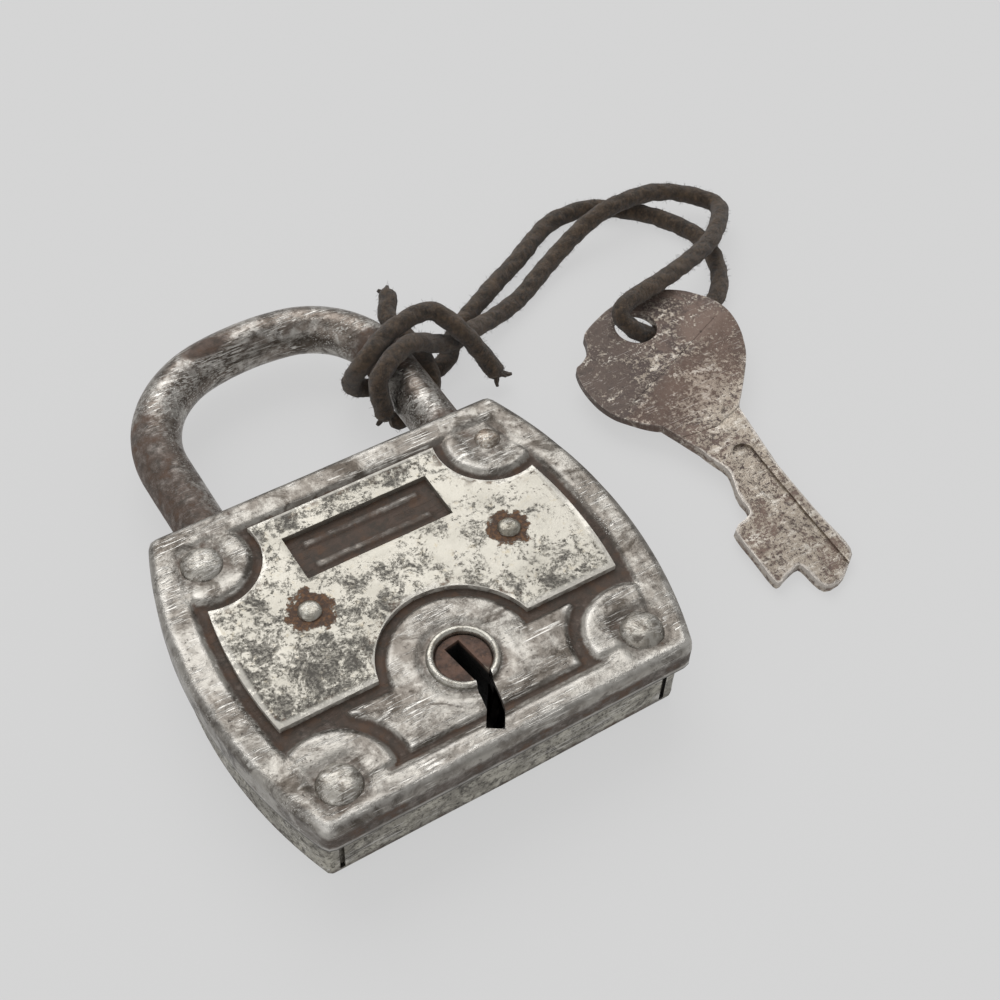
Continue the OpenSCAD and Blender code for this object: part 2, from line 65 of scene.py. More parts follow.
camera = bpy.data.objects.new("camera", bpy.data.cameras.new("camera"))
bpy.context.scene.collection.objects.link(camera)
bpy.context.scene.camera = camera
camera.data.lens = 58.74
camera.data.sensor_width = 36
camera.data.clip_start = 0.005
camera.matrix_world = (
    Matrix.Translation(VIEWPOINT * MM)
    @ Matrix.Rotation(math.radians(-LOOK_ACROSS), 4, "Z")
    @ Matrix.Rotation(math.radians(90 - LOOK_DOWN), 4, "X")
    @ Matrix.Rotation(math.radians(TILT), 4, "Z")
)

# ---- Materials ----


def colour(code):
    """A hex sRGB colour as linear RGBA."""
    parts = [int(code[i : i + 2], 16) / 255 for i in (1, 3, 5)]
    return [p / 12.92 if p <= 0.04045 else ((p + 0.055) / 1.055) ** 2.4 for p in parts] + [1.0]


def grain(size):
    """Noise scale that gives features of that size in millimetres on Object coordinates."""
    return 1 / (size * MM)


# How this script uses each kind of node: its usual settings, the sockets that values go to in
# order, and the output that is taken
USUAL = {
    "TexNoise": ({}, ("Vector", "Scale", "Detail", "Roughness", "Distortion"), "Fac"),
    "MapRange": ({"interpolation_type": "SMOOTHSTEP"}, (0, 1, 2, 3, 4), 0),
    "Mix": ({"data_type": "RGBA"}, (0, 6, 7), 2),
    "Attribute": ({}, (), "Fac"),
    "TexCoord": ({}, (), "Object"),
}


class Finish:
    """A material under construction: its tree, its shader and the piece's own coordinates."""

    def __init__(self, name, metallic, roughness):
        self.material = bpy.data.materials.new(name)
        self.material.use_nodes = True
        self.tree = self.material.node_tree
        self.shader = self.tree.nodes["Principled BSDF"]
        self.into("Metallic", metallic)
        self.into("Roughness", roughness)
        self.place = self.node("TexCoord")

    def node(self, kind, *values, out=None, **named):
        """Adds a node and gives one of its outputs.

        Values go to its sockets in order. Of the named ones, a capital names a socket and a small
        letter a setting. A value is a number, a hex colour or another node's output.
        """
        settings, places, usual_out = USUAL.get(kind, ({}, range(len(values)), 0))
        made = self.tree.nodes.new("ShaderNode" + kind)
        for key, value in settings.items():
            setattr(made, key, value)
        links = list(zip(places, values))
        for key, value in named.items():
            if key[0].islower():
                setattr(made, key, value)
            else:
                links.append((key, value))
        for key, value in links:
            self.fill(made.inputs[key], value)
        return made.outputs[usual_out if out is None else out]

    def fill(self, socket, value):
        if isinstance(value, bpy.types.NodeSocket):
            self.tree.links.new(value, socket)
        else:
            socket.default_value = colour(value) if isinstance(value, str) else value

    def into(self, socket, value):
        """Fills one of the shader's own sockets."""
        self.fill(self.shader.inputs[socket], value)


def worn_steel(
    name, silver, patina, dark, rust, bright="#d0cdc7", patches=7.0, cover=(0.42, 0.62),
    speckle=(0.56, 0.68), scratch_turns=(20, 74, 128), scratches=0.9, rust_share=0.55,
    edge_gain=1.0, shine=0.28, streaks=None, bundles=(0.53, 0.64),
):
    """Mild steel, pressed and bare for decades.

    Handling polishes raised edges to bright metal and draws fine scratches. The hollows keep
    a matt brown oxide, and small dark pits are scattered between them.
    """
    f = Finish(name, 0.9, 0.4)
    drift = f.node("TexNoise", f.place, grain(patches), 5.0, 0.62, 0.6)
    smear = f.node(
        "TexNoise",
        f.node("Mapping", f.place, Rotation=(0, 0, math.radians(50)), Scale=(1 / 1.4, 1, 1)),
        grain(patches * 0.6), 6.0, 0.7, 0.8,
    )
    fine = f.node("TexNoise", f.place, grain(1.1), 6.0, 0.7)
    pits = f.node("TexNoise", f.place, grain(0.42), 3.0, 0.6)
    hollow = f.node("Attribute", attribute_name="hollow")
    edge = f.node("Attribute", attribute_name="edge")
    rusty = f.node("Attribute", attribute_name="rust")

    blotch = f.node("Math", fine, 0.35, drift, operation="MULTIPLY_ADD")
    tone = f.node("Mix", f.node("MapRange", blotch, *[c + 0.17 for c in cover]), silver, patina)
    tone = f.node("Mix", f.node("MapRange", smear, 0.48, 0.63, 0, 0.8), tone, dark)
    if streaks:
        drawn = f.node(
            "TexNoise",
            f.node(
                "Mapping", f.place, Rotation=(0, 0, math.radians(streaks[2])),
                Scale=(1 / streaks[1], 1, 1),
            ),
            grain(streaks[0]), 5.0, 0.65,
        )
        tone = f.node("Mix", f.node("MapRange", drawn, 0.5, 0.7, 0, 0.7), tone, dark)
    grit = f.node(
        "Math", fine, 0.5, f.node("Math", pits, 0.5, operation="MULTIPLY"), operation="MULTIPLY_ADD"
    )
    speckles = f.node("MapRange", grit, *speckle, 0, 0.8)
    tone = f.node("Mix", speckles, tone, dark)

    # Hairlines: noise squeezed across each direction, so that only its thin ridges show, in bundles
    hairlines = None
    for turn, width in zip(scratch_turns, (0.17, 0.38, 0.2)):
        lines = f.node(
            "TexNoise",
            f.node("Mapping", f.place, Rotation=(0, 0, math.radians(turn)), Scale=(1 / 20, 1, 1)),
            grain(width), 3.0, 0.55,
        )
        bundle = f.node(
            "TexNoise",
            f.node("Mapping", f.place, Rotation=(0, 0, math.radians(turn)), Scale=(1 / 1.8, 1, 1)),
            grain(4.2), 3.0, 0.6,
        )
        marks = f.node(
            "Math", f.node("MapRange", lines, 0.54, 0.62), f.node("MapRange", bundle, *bundles),
            operation="MULTIPLY",
        )
        hairlines = (
            marks if hairlines is None else f.node("Math", hairlines, marks, operation="MAXIMUM")
        )
    rust_noise = f.node("TexNoise", f.place, grain(2.2), 6.0, 0.68)
    gathered = f.node(
        "MapRange", f.node("Math", rust_noise, 0.5, hollow, operation="MULTIPLY_ADD"), 0.42, 0.86
    )
    rust_mask = f.node(
        "Math", f.node("Math", gathered, rust_share * 1.5, operation="MULTIPLY", use_clamp=True),
        f.node(
            "MapRange", f.node("Math", rust_noise, 0.8, rusty, operation="MULTIPLY_ADD"), 0.66, 1.26
        ),
        operation="MAXIMUM",
    )
    tone = f.node("Mix", f.node("Math", hairlines, scratches, operation="MULTIPLY"), tone, bright)
    skin = f.node("Mix", f.node("MapRange", fine, 0.4, 0.62), rust, dark)
    skin = f.node("Mix", f.node("MapRange", rust_noise, 0.5, 0.64, 0, 0.45), skin, "#6f513d")
    tone = f.node("Mix", rust_mask, tone, skin)
    worn = f.node("Math", edge, f.node("Attribute", attribute_name="rubbed"), operation="ADD")
    rub = f.node("MapRange", f.node("Math", fine, 0.7, worn, operation="MULTIPLY_ADD"), 0.6, 1.15)
    polish = f.node("Math", rub, edge_gain, operation="MULTIPLY", use_clamp=True)
    tone = f.node("Mix", polish, tone, bright)
    inside = f.node("Attribute", attribute_name="inside")
    # Painted shade: faces that look into the case are painted near-black
    f.into("Base Color", f.node("Mix", inside, tone, "#1d1916"))

    dull = f.node("Math", rust_mask, inside, operation="MAXIMUM")
    dull = f.node(
        "Math", dull, f.node("Math", speckles, 0.8, operation="MULTIPLY"), operation="MAXIMUM"
    )
    f.into("Metallic", f.node("MapRange", dull, 0, 1, 0.95, 0.25))
    satin = f.node("MapRange", fine, 0.3, 0.7, shine, shine + 0.16)
    rough = f.node("Math", dull, 0.3, satin, operation="MULTIPLY_ADD")
    f.into(
        "Roughness",
        f.node(
            "Math", rough, f.node("Math", polish, 0.1, operation="MULTIPLY"), operation="SUBTRACT"
        ),
    )
    relief = f.node(
        "Math", pits, 0.3, f.node("Math", fine, 0.7, operation="MULTIPLY"), operation="MULTIPLY_ADD"
    )
    marked = f.node(
        "Math", f.node("Math", speckles, hairlines, operation="ADD"), 0.25, operation="MULTIPLY"
    )
    f.into(
        "Normal",
        f.node(
            "Bump", Height=f.node("Math", relief, marked, operation="SUBTRACT"), Distance=0.12 * MM,
            Strength=1.0,
        ),
    )
    return f.material


def plated_sheet(name, rivets):
    """Thin nickel plate: pale and satin, gone grey in clusters of pinholes, rust-ringed rivets."""
    f = Finish(name, 0.75, 0.4)
    drift = f.node("TexNoise", f.place, grain(9.0), 4.0, 0.6)
    clusters = f.node("TexNoise", f.place, grain(3.4), 8.0, 0.8, 0.5)
    tarnish = f.node(
        "Math", f.node("Attribute", attribute_name="tarnish"), 0.12, operation="MULTIPLY"
    )
    fine = f.node("TexNoise", f.place, grain(0.6), 5.0, 0.75)
    pits = f.node("TexNoise", f.place, grain(0.34), 3.0, 0.6)
    tone = f.node("Mix", f.node("MapRange", drift, 0.35, 0.65), "#b1ada3", "#a09c92")
    tone = f.node(
        "Mix",
        f.node("MapRange", f.node("TexNoise", f.place, grain(1.6), 4.0, 0.7), 0.55, 0.75, 0, 0.5),
        tone, "#a29478",
    )
    grime = f.node(
        "Math", f.node("Math", fine, 0.5, clusters, operation="MULTIPLY_ADD"), tarnish,
        operation="ADD",
    )
    grey = f.node("MapRange", grime, 0.79, 0.97)
    pinholes = f.node("Mix", f.node("MapRange", pits, 0.4, 0.6), "#5f5b54", "#8a857b")
    tone = f.node("Mix", f.node("Math", grey, 0.8, operation="MULTIPLY"), tone, pinholes)
    black = f.node(
        "MapRange", f.node("Math", pits, 0.6, grime, operation="MULTIPLY_ADD"), 1.17, 1.28, 0, 0.8
    )
    tone = f.node("Mix", black, tone, "#3f3b36")

    halo = None
    ragged = f.node("TexNoise", f.place, grain(2.4), 6.0, 0.7)
    for rivet, reach in rivets:
        away = f.node("VectorMath", f.place, rivet * MM, operation="DISTANCE", out="Value")
        near = f.node("Math", reach * MM, away, operation="SUBTRACT")
        near = f.node("Math", near, 1 / (reach * MM), operation="MULTIPLY")
        near = f.node("Math", ragged, 1.5, near, operation="MULTIPLY_ADD")
        halo = near if halo is None else f.node("Math", halo, near, operation="MAXIMUM")
    hollow = f.node(
        "Math", f.node("Attribute", attribute_name="rim"), f.node("MapRange", ragged, 0.5, 0.62),
        operation="MULTIPLY",
    )
    halo = f.node(
        "Math", f.node("MapRange", halo, 0.86, 0.98),
        f.node("Math", hollow, 0.75, operation="MULTIPLY"), operation="MAXIMUM",
    )
    fringe = f.node("Mix", f.node("MapRange", fine, 0.45, 0.62), "#4c3a2f", "#745439")
    tone = f.node("Mix", halo, tone, fringe)
    polish = f.node(
        "MapRange",
        f.node(
            "Math", fine, 0.4, f.node("Attribute", attribute_name="edge"), operation="MULTIPLY_ADD"
        ),
        0.5, 0.9,
    )
    tone = f.node("Mix", polish, tone, "#c8c4bb")
    f.into("Base Color", tone)
    dull = f.node(
        "Math", f.node("Math", halo, black, operation="MAXIMUM"),
        f.node("Math", grey, 0.7, operation="MULTIPLY"), operation="MAXIMUM",
    )
    f.into("Metallic", f.node("MapRange", dull, 0, 1, 0.8, 0.15))
    f.into(
        "Roughness",
        f.node("Math", f.node("Math", dull, 0.36, operation="MULTIPLY"), 0.36, operation="ADD"),
    )
    relief = f.node(
        "Math", f.node("Math", fine, 0.5, operation="MULTIPLY"),
        f.node("Math", dull, 0.8, operation="MULTIPLY"), operation="SUBTRACT",
    )
    f.into("Normal", f.node("Bump", Height=relief, Distance=0.08 * MM, Strength=0.8))
    return f.material


def brown_oxide(name, light, brown, dark, size=1.6, painted_shade_below=None):
    """Steel that kept its brown magnetite and rust skin: matt, with orange and black grains."""
    f = Finish(name, 0.25, 0.75)
    fine = f.node("TexNoise", f.place, grain(0.5), 5.0, 0.7)
    tone = f.node(
        "Mix", f.node("MapRange", f.node("TexNoise", f.place, grain(size), 5.0, 0.65), 0.4, 0.62),
        brown, dark,
    )
    tone = f.node("Mix", f.node("MapRange", fine, 0.56, 0.7, 0, 0.7), tone, light)
    tone = f.node(
        "Mix", f.node("MapRange", f.node("Attribute", attribute_name="edge"), 0.25, 0.8, 0, 0.6),
        tone, "#a79b8d",
    )
    # Painted shade: below the given height the piece is painted near-black
    if painted_shade_below is not None:
        level = f.node("SeparateXYZ", f.place, out="Z")
        tone = f.node(
            "Mix", f.node("MapRange", level, (painted_shade_below - 0.9) * MM, painted_shade_below * MM), "#14110f",
            tone,
        )
    f.into("Base Color", tone)
    f.into("Roughness", f.node("MapRange", fine, 0.3, 0.7, 0.6, 0.85))
    f.into("Normal", f.node("Bump", Height=fine, Distance=0.08 * MM, Strength=0.8))
    return f.material


def key_patina(name):
    """Nickelled steel key, handled until it browned: mauve skin, silver grains, bright edges."""
    f = Finish(name, 0.8, 0.42)
    drift = f.node("TexNoise", f.place, grain(7.0), 6.0, 0.68, 0.6)
    along_blade = f.node(
        "TexNoise",
        f.node("Mapping", f.place, Rotation=(0, 0, math.radians(90)), Scale=(1 / 2.6, 1, 1)),
        grain(1.3), 6.0, 0.72,
    )
    fine = f.node("TexNoise", f.place, grain(0.8), 6.0, 0.75)
    grains = f.node("TexNoise", f.place, grain(0.4), 4.0, 0.7)
    blade = f.node("Attribute", attribute_name="blade")
    skin = f.node("Mix", f.node("MapRange", drift, 0.4, 0.6), "#7f6d63", "#5a4e4a")
    amount = f.node(
        "Math", grains, 0.25, f.node("Math", fine, 0.45, operation="MULTIPLY"),
        operation="MULTIPLY_ADD",
    )
    amount = f.node(
        "Math", f.node("Math", drift, along_blade, operation="ADD"), 0.24, amount,
        operation="MULTIPLY_ADD",
    )
    amount = f.node("Math", blade, 0.055, amount, operation="MULTIPLY_ADD")
    amount = f.node(
        "Math", f.node("Attribute", attribute_name="bare"), 0.06, amount, operation="MULTIPLY_ADD"
    )
    silver = f.node("MapRange", amount, 0.595, 0.655, 0, 0.9)
    grit = f.node("Mix", f.node("MapRange", grains, 0.4, 0.6), "#c4baac", "#9d9285")
    grit = f.node("Mix", f.node("MapRange", along_blade, 0.52, 0.66, 0, 0.8), grit, "#ddd7cd")
    tone = f.node("Mix", silver, skin, grit)
    tone = f.node(
        "Mix",
        f.node("MapRange", f.node("TexNoise", f.place, grain(1.5), 5.0, 0.7), 0.58, 0.7, 0, 0.7),
        tone, "#463d39",
    )
    dark_side = f.node(
        "Math", f.node("Attribute", attribute_name="shade"),
        f.node("MapRange", drift, 0.3, 0.6, 0.9, 0.3), operation="MULTIPLY",
    )
    tone = f.node("Mix", dark_side, tone, "#4f4743")
    tone = f.node(
        "Mix",
        f.node(
            "Math", f.node("Attribute", attribute_name="hollow"), 0.7, operation="MULTIPLY",
            use_clamp=True,
        ),
        tone, "#5b4a43",
    )
    band = f.node(
        "Math", f.node("Attribute", attribute_name="rust"),
        f.node("MapRange", fine, 0.35, 0.6, 0.9, 0.4), operation="MULTIPLY",
    )
    tone = f.node("Mix", band, tone, "#67544a")
    lines = f.node(
        "TexNoise",
        f.node("Mapping", f.place, Rotation=(0, 0, math.radians(32)), Scale=(1 / 30, 1, 1)),
        grain(0.17), 2.0, 0.5,
    )
    marks = f.node(
        "Math", f.node("MapRange", lines, 0.6, 0.7),
        f.node("MapRange", f.node("TexNoise", f.place, grain(4.0), 4.0, 0.6), 0.48, 0.6),
        operation="MULTIPLY",
    )
    tone = f.node("Mix", f.node("Math", marks, 0.5, operation="MULTIPLY"), tone, "#cfc8c0")
    polish = f.node(
        "MapRange",
        f.node(
            "Math", fine, 0.6, f.node("Attribute", attribute_name="edge"), operation="MULTIPLY_ADD"
        ),
        0.66, 1.05,
    )
    tone = f.node("Mix", polish, tone, "#bdb6ae")
    f.into("Base Color", tone)
    bare = f.node("Math", silver, polish, operation="MAXIMUM")
    f.into("Metallic", f.node("MapRange", bare, 0, 1, 0.55, 0.9))
    f.into("Roughness", f.node("MapRange", bare, 0, 1, 0.56, 0.38))
    relief = f.node(
        "Math", silver, 0.25, f.node("Math", fine, 0.6, operation="MULTIPLY"),
        operation="MULTIPLY_ADD",
    )
    f.into("Normal", f.node("Bump", Height=relief, Distance=0.07 * MM, Strength=0.8))
    return f.material


def cord_yarn(name, light, middle, dark):
    """Soft cotton cord, dyed brown: its fuzz hides the twist and takes the light like felt."""
    f = Finish(name, 0.0, 0.95)
    twist = f.node("Attribute", attribute_name="twist")
    fuzz = f.node("TexNoise", f.place, grain(0.7), 6.0, 0.8)
    worn = f.node("TexNoise", f.place, grain(7.0), 4.0, 0.6)
    tone = f.node("Mix", f.node("MapRange", fuzz, 0.4, 0.6), dark, middle)
    tone = f.node("Mix", f.node("MapRange", fuzz, 0.55, 0.68, 0, 0.7), tone, light)
    tone = f.node(
        "Mix", f.node("Math", f.node("MapRange", twist, 0.3, 0.9), 0.3, operation="MULTIPLY"), tone,
        light,
    )
    tone = f.node("Mix", f.node("MapRange", worn, 0.45, 0.7, 0, 0.3), tone, light)
    f.into("Base Color", tone)
    f.into("Sheen Weight", 0.25)
    f.into("Sheen Roughness", 0.6)
    f.into("Specular IOR Level", 0.2)
    f.into("Normal", f.node("Bump", Height=fuzz, Distance=0.32 * MM, Strength=1.0))
    return f.material


# ---- Making and finishing pieces ----

WELD = 0.0005
SHARP = 38  # degrees between faces, above which an edge stays crisp


def wear_of(mesh, spread):
    """How far each point stands proud of, or lies below, its surroundings, in 1/mm."""
    count = len(mesh.vertices)
    co = np.empty(count * 3)
    mesh.vertices.foreach_get("co", co)
    co = co.reshape(-1, 3)
    normal = np.empty(count * 3)
    mesh.vertices.foreach_get("normal", normal)
    normal = normal.reshape(-1, 3)
    ends = np.empty(len(mesh.edges) * 2, dtype=np.int32)
    mesh.edges.foreach_get("vertices", ends)
    a, b = ends.reshape(-1, 2).T
    way = co[b] - co[a]
    far = np.maximum((way**2).sum(1), 1e-6)
    bend, tally = np.zeros(count), np.zeros(count)
    np.add.at(bend, a, (way * normal[a]).sum(1) / far)
    np.add.at(bend, b, (-way * normal[b]).sum(1) / far)
    np.add.at(tally, a, 1)
    np.add.at(tally, b, 1)
    tally = np.maximum(tally, 1)
    bend = np.clip(bend / tally, -3, 3)
    for _ in range(spread):
        total = bend * 2
        np.add.at(total, a, bend[b])
        np.add.at(total, b, bend[a])
        bend = total / (2 + tally)
    return bend


def put_attribute(mesh, name, values):
    layer = mesh.attributes.new(name, "FLOAT", "POINT")
    layer.data.foreach_set("value", np.asarray(values, dtype=np.float32))


def mark_wear(mesh, spread, gain):
    """Writes where a piece is rubbed bright and where dirt stays, for its material to read."""
    bend = wear_of(mesh, spread)
    put_attribute(mesh, "edge", np.clip(-bend * gain[0], 0, 1))
    put_attribute(mesh, "hollow", np.clip(bend * gain[1], 0, 1))


def shade(mesh):
    """Smooth shading with crisp edges."""
    bm = bmesh.new()
    bm.from_mesh(mesh)
    for face in bm.faces:
        face.smooth = True
    for edge in bm.edges:
        edge.smooth = len(edge.link_faces) != 2 or edge.calc_face_angle(0) < math.radians(SHARP)
    bm.to_mesh(mesh)
    bm.free()


def loose(bm, name="tool", merge=True):
    """A bmesh as a plain object, for cutting or for finishing later."""
    if merge:
        bmesh.ops.remove_doubles(bm, verts=bm.verts, dist=WELD)
        bmesh.ops.recalc_face_normals(bm, faces=bm.faces)
    mesh = bpy.data.meshes.new(name)
    bm.to_mesh(mesh)
    bm.free()
    made = bpy.data.objects.new(name, mesh)
    bpy.context.scene.collection.objects.link(made)
    return made


def dress(made, material, body, replaced=(), spread=2, gain=(2.2, 2.2), paint=None):
    """Shades, paints and scales an object in millimetres, and lets it ride on a body as a piece."""
    mesh = made.data
    shade(mesh)
    if spread is not None:
        mark_wear(mesh, spread, gain)
    for attribute, rule in (paint or {}).items():
        put_attribute(mesh, attribute, [rule(v) for v in mesh.vertices])
    mesh.transform(Matrix.Scale(MM, 4))
    mesh.materials.clear()
    mesh.materials.append(material)
    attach(made, body)
    if replaced:
        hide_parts(*replaced)
    return made


def baked(made):
    """Applies an object's modifiers."""
    graph = bpy.context.evaluated_depsgraph_get()
    graph.update()
    mesh = bpy.data.meshes.new_from_object(made.evaluated_get(graph))
    made.modifiers.clear()
    made.data = mesh
    return made


def carve(made, cutters, operation="DIFFERENCE", solver="EXACT"):
    """Cuts each cutter from a closed piece, or joins it on, and removes the cutter."""
    for cutter in cutters:
        cut = made.modifiers.new("cut", "BOOLEAN")
        cut.operation = operation
        cut.solver = solver
        cut.object = cutter
        baked(made)
        bpy.data.objects.remove(cutter)
    return made


def rounded(made, width, segments=2, angle=40):
    """Rounds the sharp edges, as tumbling and wear do."""
    weld = made.modifiers.new("weld", "WELD")
    weld.merge_threshold = 0.002
    bevel = made.modifiers.new("bevel", "BEVEL")
    bevel.width = width
    bevel.segments = segments
    bevel.limit_method = "ANGLE"
    bevel.angle_limit = math.radians(angle)
    return baked(made)


def block(low, high):
    """A closed box between two corners."""
    bm = bmesh.new()
    low, high = Vector(low), Vector(high)
    size = high - low
    bmesh.ops.create_cube(
        bm, size=1, matrix=Matrix.Translation((low + high) / 2) @ Matrix.Diagonal((*size, 1))
    )
    return loose(bm)


def drum(centre, radius, z0, z1, segments=64):
    """A closed upright cylinder."""
    bm = bmesh.new()
    bmesh.ops.create_cone(
        bm, cap_ends=True, segments=segments, radius1=radius, radius2=radius, depth=z1 - z0,
        matrix=Matrix.Translation((centre[0], centre[1], (z0 + z1) / 2)),
    )
    return loose(bm)


def slab(points, z0, z1):
    """A closed slab on a flat outline."""
    bm = bmesh.new()
    ring = [bm.verts.new((p[0], p[1], z0)) for p in points]
    bottom = bm.faces.new(ring)
    up = bmesh.ops.extrude_face_region(bm, geom=[bottom])
    bmesh.ops.translate(
        bm, verts=[g for g in up["geom"] if isinstance(g, bmesh.types.BMVert)], vec=(0, 0, z1 - z0)
    )
    return bm


def turned(profile, centre, segments=48):
    """A profile of (radius, height) points spun once round an upright axis."""
    bm = bmesh.new()
    spot = Vector((centre[0], centre[1], 0))
    line = [bm.verts.new(spot + Vector((r, 0, z))) for r, z in profile]
    edges = [bm.edges.new(pair) for pair in zip(line, line[1:])]
    bmesh.ops.spin(
        bm, geom=line + edges, cent=spot, axis=(0, 0, 1), angle=2 * math.pi, steps=segments,
        use_merge=True, use_duplicate=False,
    )
    bmesh.ops.remove_doubles(bm, verts=bm.verts, dist=WELD)
    return bm


def smooth_route(points, gap=0.4):
    """Even points on a smooth curve through the given ones."""
    ends = [points[0] * 2 - points[1], *points, points[-1] * 2 - points[-2]]
    curve = []
    for p0, p1, p2, p3 in zip(ends, ends[1:], ends[2:], ends[3:]):
        for i in range(24):
            t = i / 24
            curve.append(
                0.5 * (2 * p1 + (p2 - p0) * t + (2 * p0 - 5 * p1 + 4 * p2 - p3) * t**2
                       + (3 * p1 - p0 - 3 * p2 + p3) * t**3)
            )
    curve.append(points[-1])
    run = runs_of(curve)
    steps = max(2, round(run[-1] / gap))
    even, k = [], 0
    for i in range(steps + 1):
        want = run[-1] * i / steps
        while k < len(run) - 2 and run[k + 1] < want:
            k += 1
        share = (want - run[k]) / max(run[k + 1] - run[k], 1e-9)
        even.append(curve[k].lerp(curve[k + 1], min(1, share)))
    for _ in range(10):
        inner = [b * 0.5 + (a + c) * 0.25 for a, b, c in zip(even, even[1:], even[2:])]
        even = [even[0], *inner, even[-1]]
    return even


def runs_of(path):
    """Distance along a path to each of its points."""
    run = [0.0]
    for a, b in zip(path, path[1:]):
        run.append(run[-1] + (b - a).length)
    return run


def carried_sides(path, first=Vector((0.12, 0.21, 1))):
    """Heading and side vectors along a path, without twist."""
    headings, sides = [], []
    for i in range(len(path)):
        heading = (path[min(i + 1, len(path) - 1)] - path[max(i - 1, 0)]).normalized()
        first = (first - heading * first.dot(heading)).normalized()
        headings.append(heading)
        sides.append(first.copy())
    return headings, sides


def swept(path, around, section):
    """A closed tube along a path. section(run, angle, i) gives its radius."""
    bm = bmesh.new()
    rows = len(path)
    bmesh.ops.create_grid(bm, x_segments=around, y_segments=rows - 1, size=0.5)
    headings, sides = carried_sides(path)
    run = runs_of(path)
    for v in bm.verts:
        i = round((v.co.y + 0.5) * (rows - 1))
        angle = 2 * math.pi * (v.co.x + 0.5)
        if round((v.co.x + 0.5) * around) == around:
            angle = 0.0
        side, up = sides[i], headings[i].cross(sides[i])
        size = section(run[i], angle, i)
        v.co = path[i] + side * (size * math.cos(angle)) + up * (size * math.sin(angle))
    bmesh.ops.remove_doubles(bm, verts=bm.verts, dist=WELD)
    bmesh.ops.holes_fill(bm, edges=[e for e in bm.edges if e.is_boundary], sides=around + 1)
    bmesh.ops.recalc_face_normals(bm, faces=bm.faces)
    return bm


def batter(bm, depth, size, seed, above=-1.0):
    """Dents of that depth and size, as old hammering and knocks leave, above a height."""
    bm.normal_update()
    shift = Vector((seed * 17.3, seed * 5.1, seed * 9.7))
    for v in bm.verts:
        if v.co.z > above:
            v.co += v.normal * depth * noise.noise(v.co / size + shift)


def strip(line, half):
    """Flat outline of a strip of even width along its middle line."""
    left, right = [], []
    for i, p in enumerate(line):
        way = (line[min(i + 1, len(line) - 1)] - line[max(i - 1, 0)]).normalized()
        side = Vector((-way.y, way.x)) * half
        left.append(p + side)
        right.append(p - side)
    return left + right[::-1]


# ---- Cord ----

CORD_D = 3.2
cord_route = [
    (37, 38, 2), (36.4, 39.1, 3.6), (35.2, 40.6, 6), (33.9, 41.8, 8.5), (32.4, 43.4, 10.6),
    (31.4, 45.1, 11.6), (30, 46.8, 12.5), (27.5, 47, 13), (24, 46.3, 13.1),
    (20.1, 45, 13.1), (16.4, 42.9, 12.7), (14.6, 42.8, 11), (14.1, 44, 8), (14.7, 45.8, 4.6),
    (17.2, 46.6, 1.8), (20.8, 45.6, 1.6), (26, 44.4, 1.6), (30.5, 44.9, 1.6),
    (33.2, 46.7, 1.6), (36.2, 50.2, 1.6), (40.8, 53, 1.6), (47.9, 56.8, 1.6),
    (54.4, 60, 1.6), (61.6, 64.1, 1.6), (66, 65.6, 1.6), (72.8, 65.2, 1.6),
    (78.6, 61, 1.6), (82.2, 56.7, 1.6), (84.7, 51.6, 1.6), (85.2, 47, 1.6), (83.2, 41, 1.6),
    (79.5, 36.2, 1.6), (74, 33.4, 1.6), (68, 32.8, 1.6), (64.4, 33, 1.9), (61.7, 33.5, 3.3),
    (59.9, 34.3, 5), (58.6, 35.6, 6.6), (59.8, 37, 7.3), (63, 37.8, 7.4), (69.3, 39.1, 7.2),
    (75.7, 41.1, 6.5), (82.7, 44.1, 5.4), (86.5, 46.8, 4.9), (89.8, 50, 4), (91.6, 52.6, 3.5),
    (91, 55.2, 3.3), (87, 58.7, 4), (82.4, 60.2, 4.8), (77, 60.4, 5.2), (71.2, 60, 4.9),
    (65.4, 58.9, 3.4), (57.4, 55.8, 1.9), (50, 52, 1.6), (43.5, 49.6, 2.2),
    (38.3, 47.5, 4), (34.4, 45.3, 5.8), (31, 44, 7.2), (28, 43.4, 9.2), (25.1, 42.4, 11.9),
    (22.4, 41.8, 13), (19.5, 40.6, 13.1), (17, 39.2, 12.8), (15.2, 38, 11.6),
    (15.3, 37.2, 9), (15.4, 36, 5.6),
]
tie_route = [
    (28.6, 59.9, 6.5), (28, 57.3, 6.5), (26.4, 55.8, 6.5), (25.9, 53.2, 6.5),
    (26.4, 50.5, 6.4), (26.8, 47.5, 6.2), (26.7, 44.2, 6), (26.3, 41, 5.2),
    (24.6, 38.8, 2.8), (21, 38, 1.65), (17.4, 38.3, 1.65),
]
yarn = cord_yarn("brown_cotton_cord", "#705c47", "#4c3d2f", "#251e17")
stray_yarn = cord_yarn("loose_cotton_fibre", "#5c4e41", "#453a30", "#372e27")


def cord_piece(name, route, node, seed):
    """The cord's soft round body: a faint twist, thick and thin places, and a felted skin."""
    path = smooth_route([Vector(p) for p in route])
    half = CORD_D / 2

    def section(run, angle, i):
        spot = Vector((math.cos(angle) * 1.3, math.sin(angle) * 1.3, run * 0.55 + seed))
        swell = 0.07 * noise.noise(Vector((run * 0.21, seed, 0)))
        skin = 0.06 * noise.noise(spot * 1.6) + 0.045 * noise.noise(spot * 4.5)
        ply = 0.035 * math.cos(3 * (angle - run * 2 * math.pi / 11))
        tip = min(1.0, 0.55 + min(i, len(path) - 1 - i) * 0.18)
        return half * tip * (0.94 + swell + skin + ply)

    made = loose(swept(path, 22, section), name)
    dress(made, yarn, "shackle", (node,), spread=1, gain=(1, 1))
    twist = [0.5 + 0.5 * noise.noise(v.co / MM * 0.9) for v in made.data.vertices]
    put_attribute(made.data, "twist", twist)
    return made, path


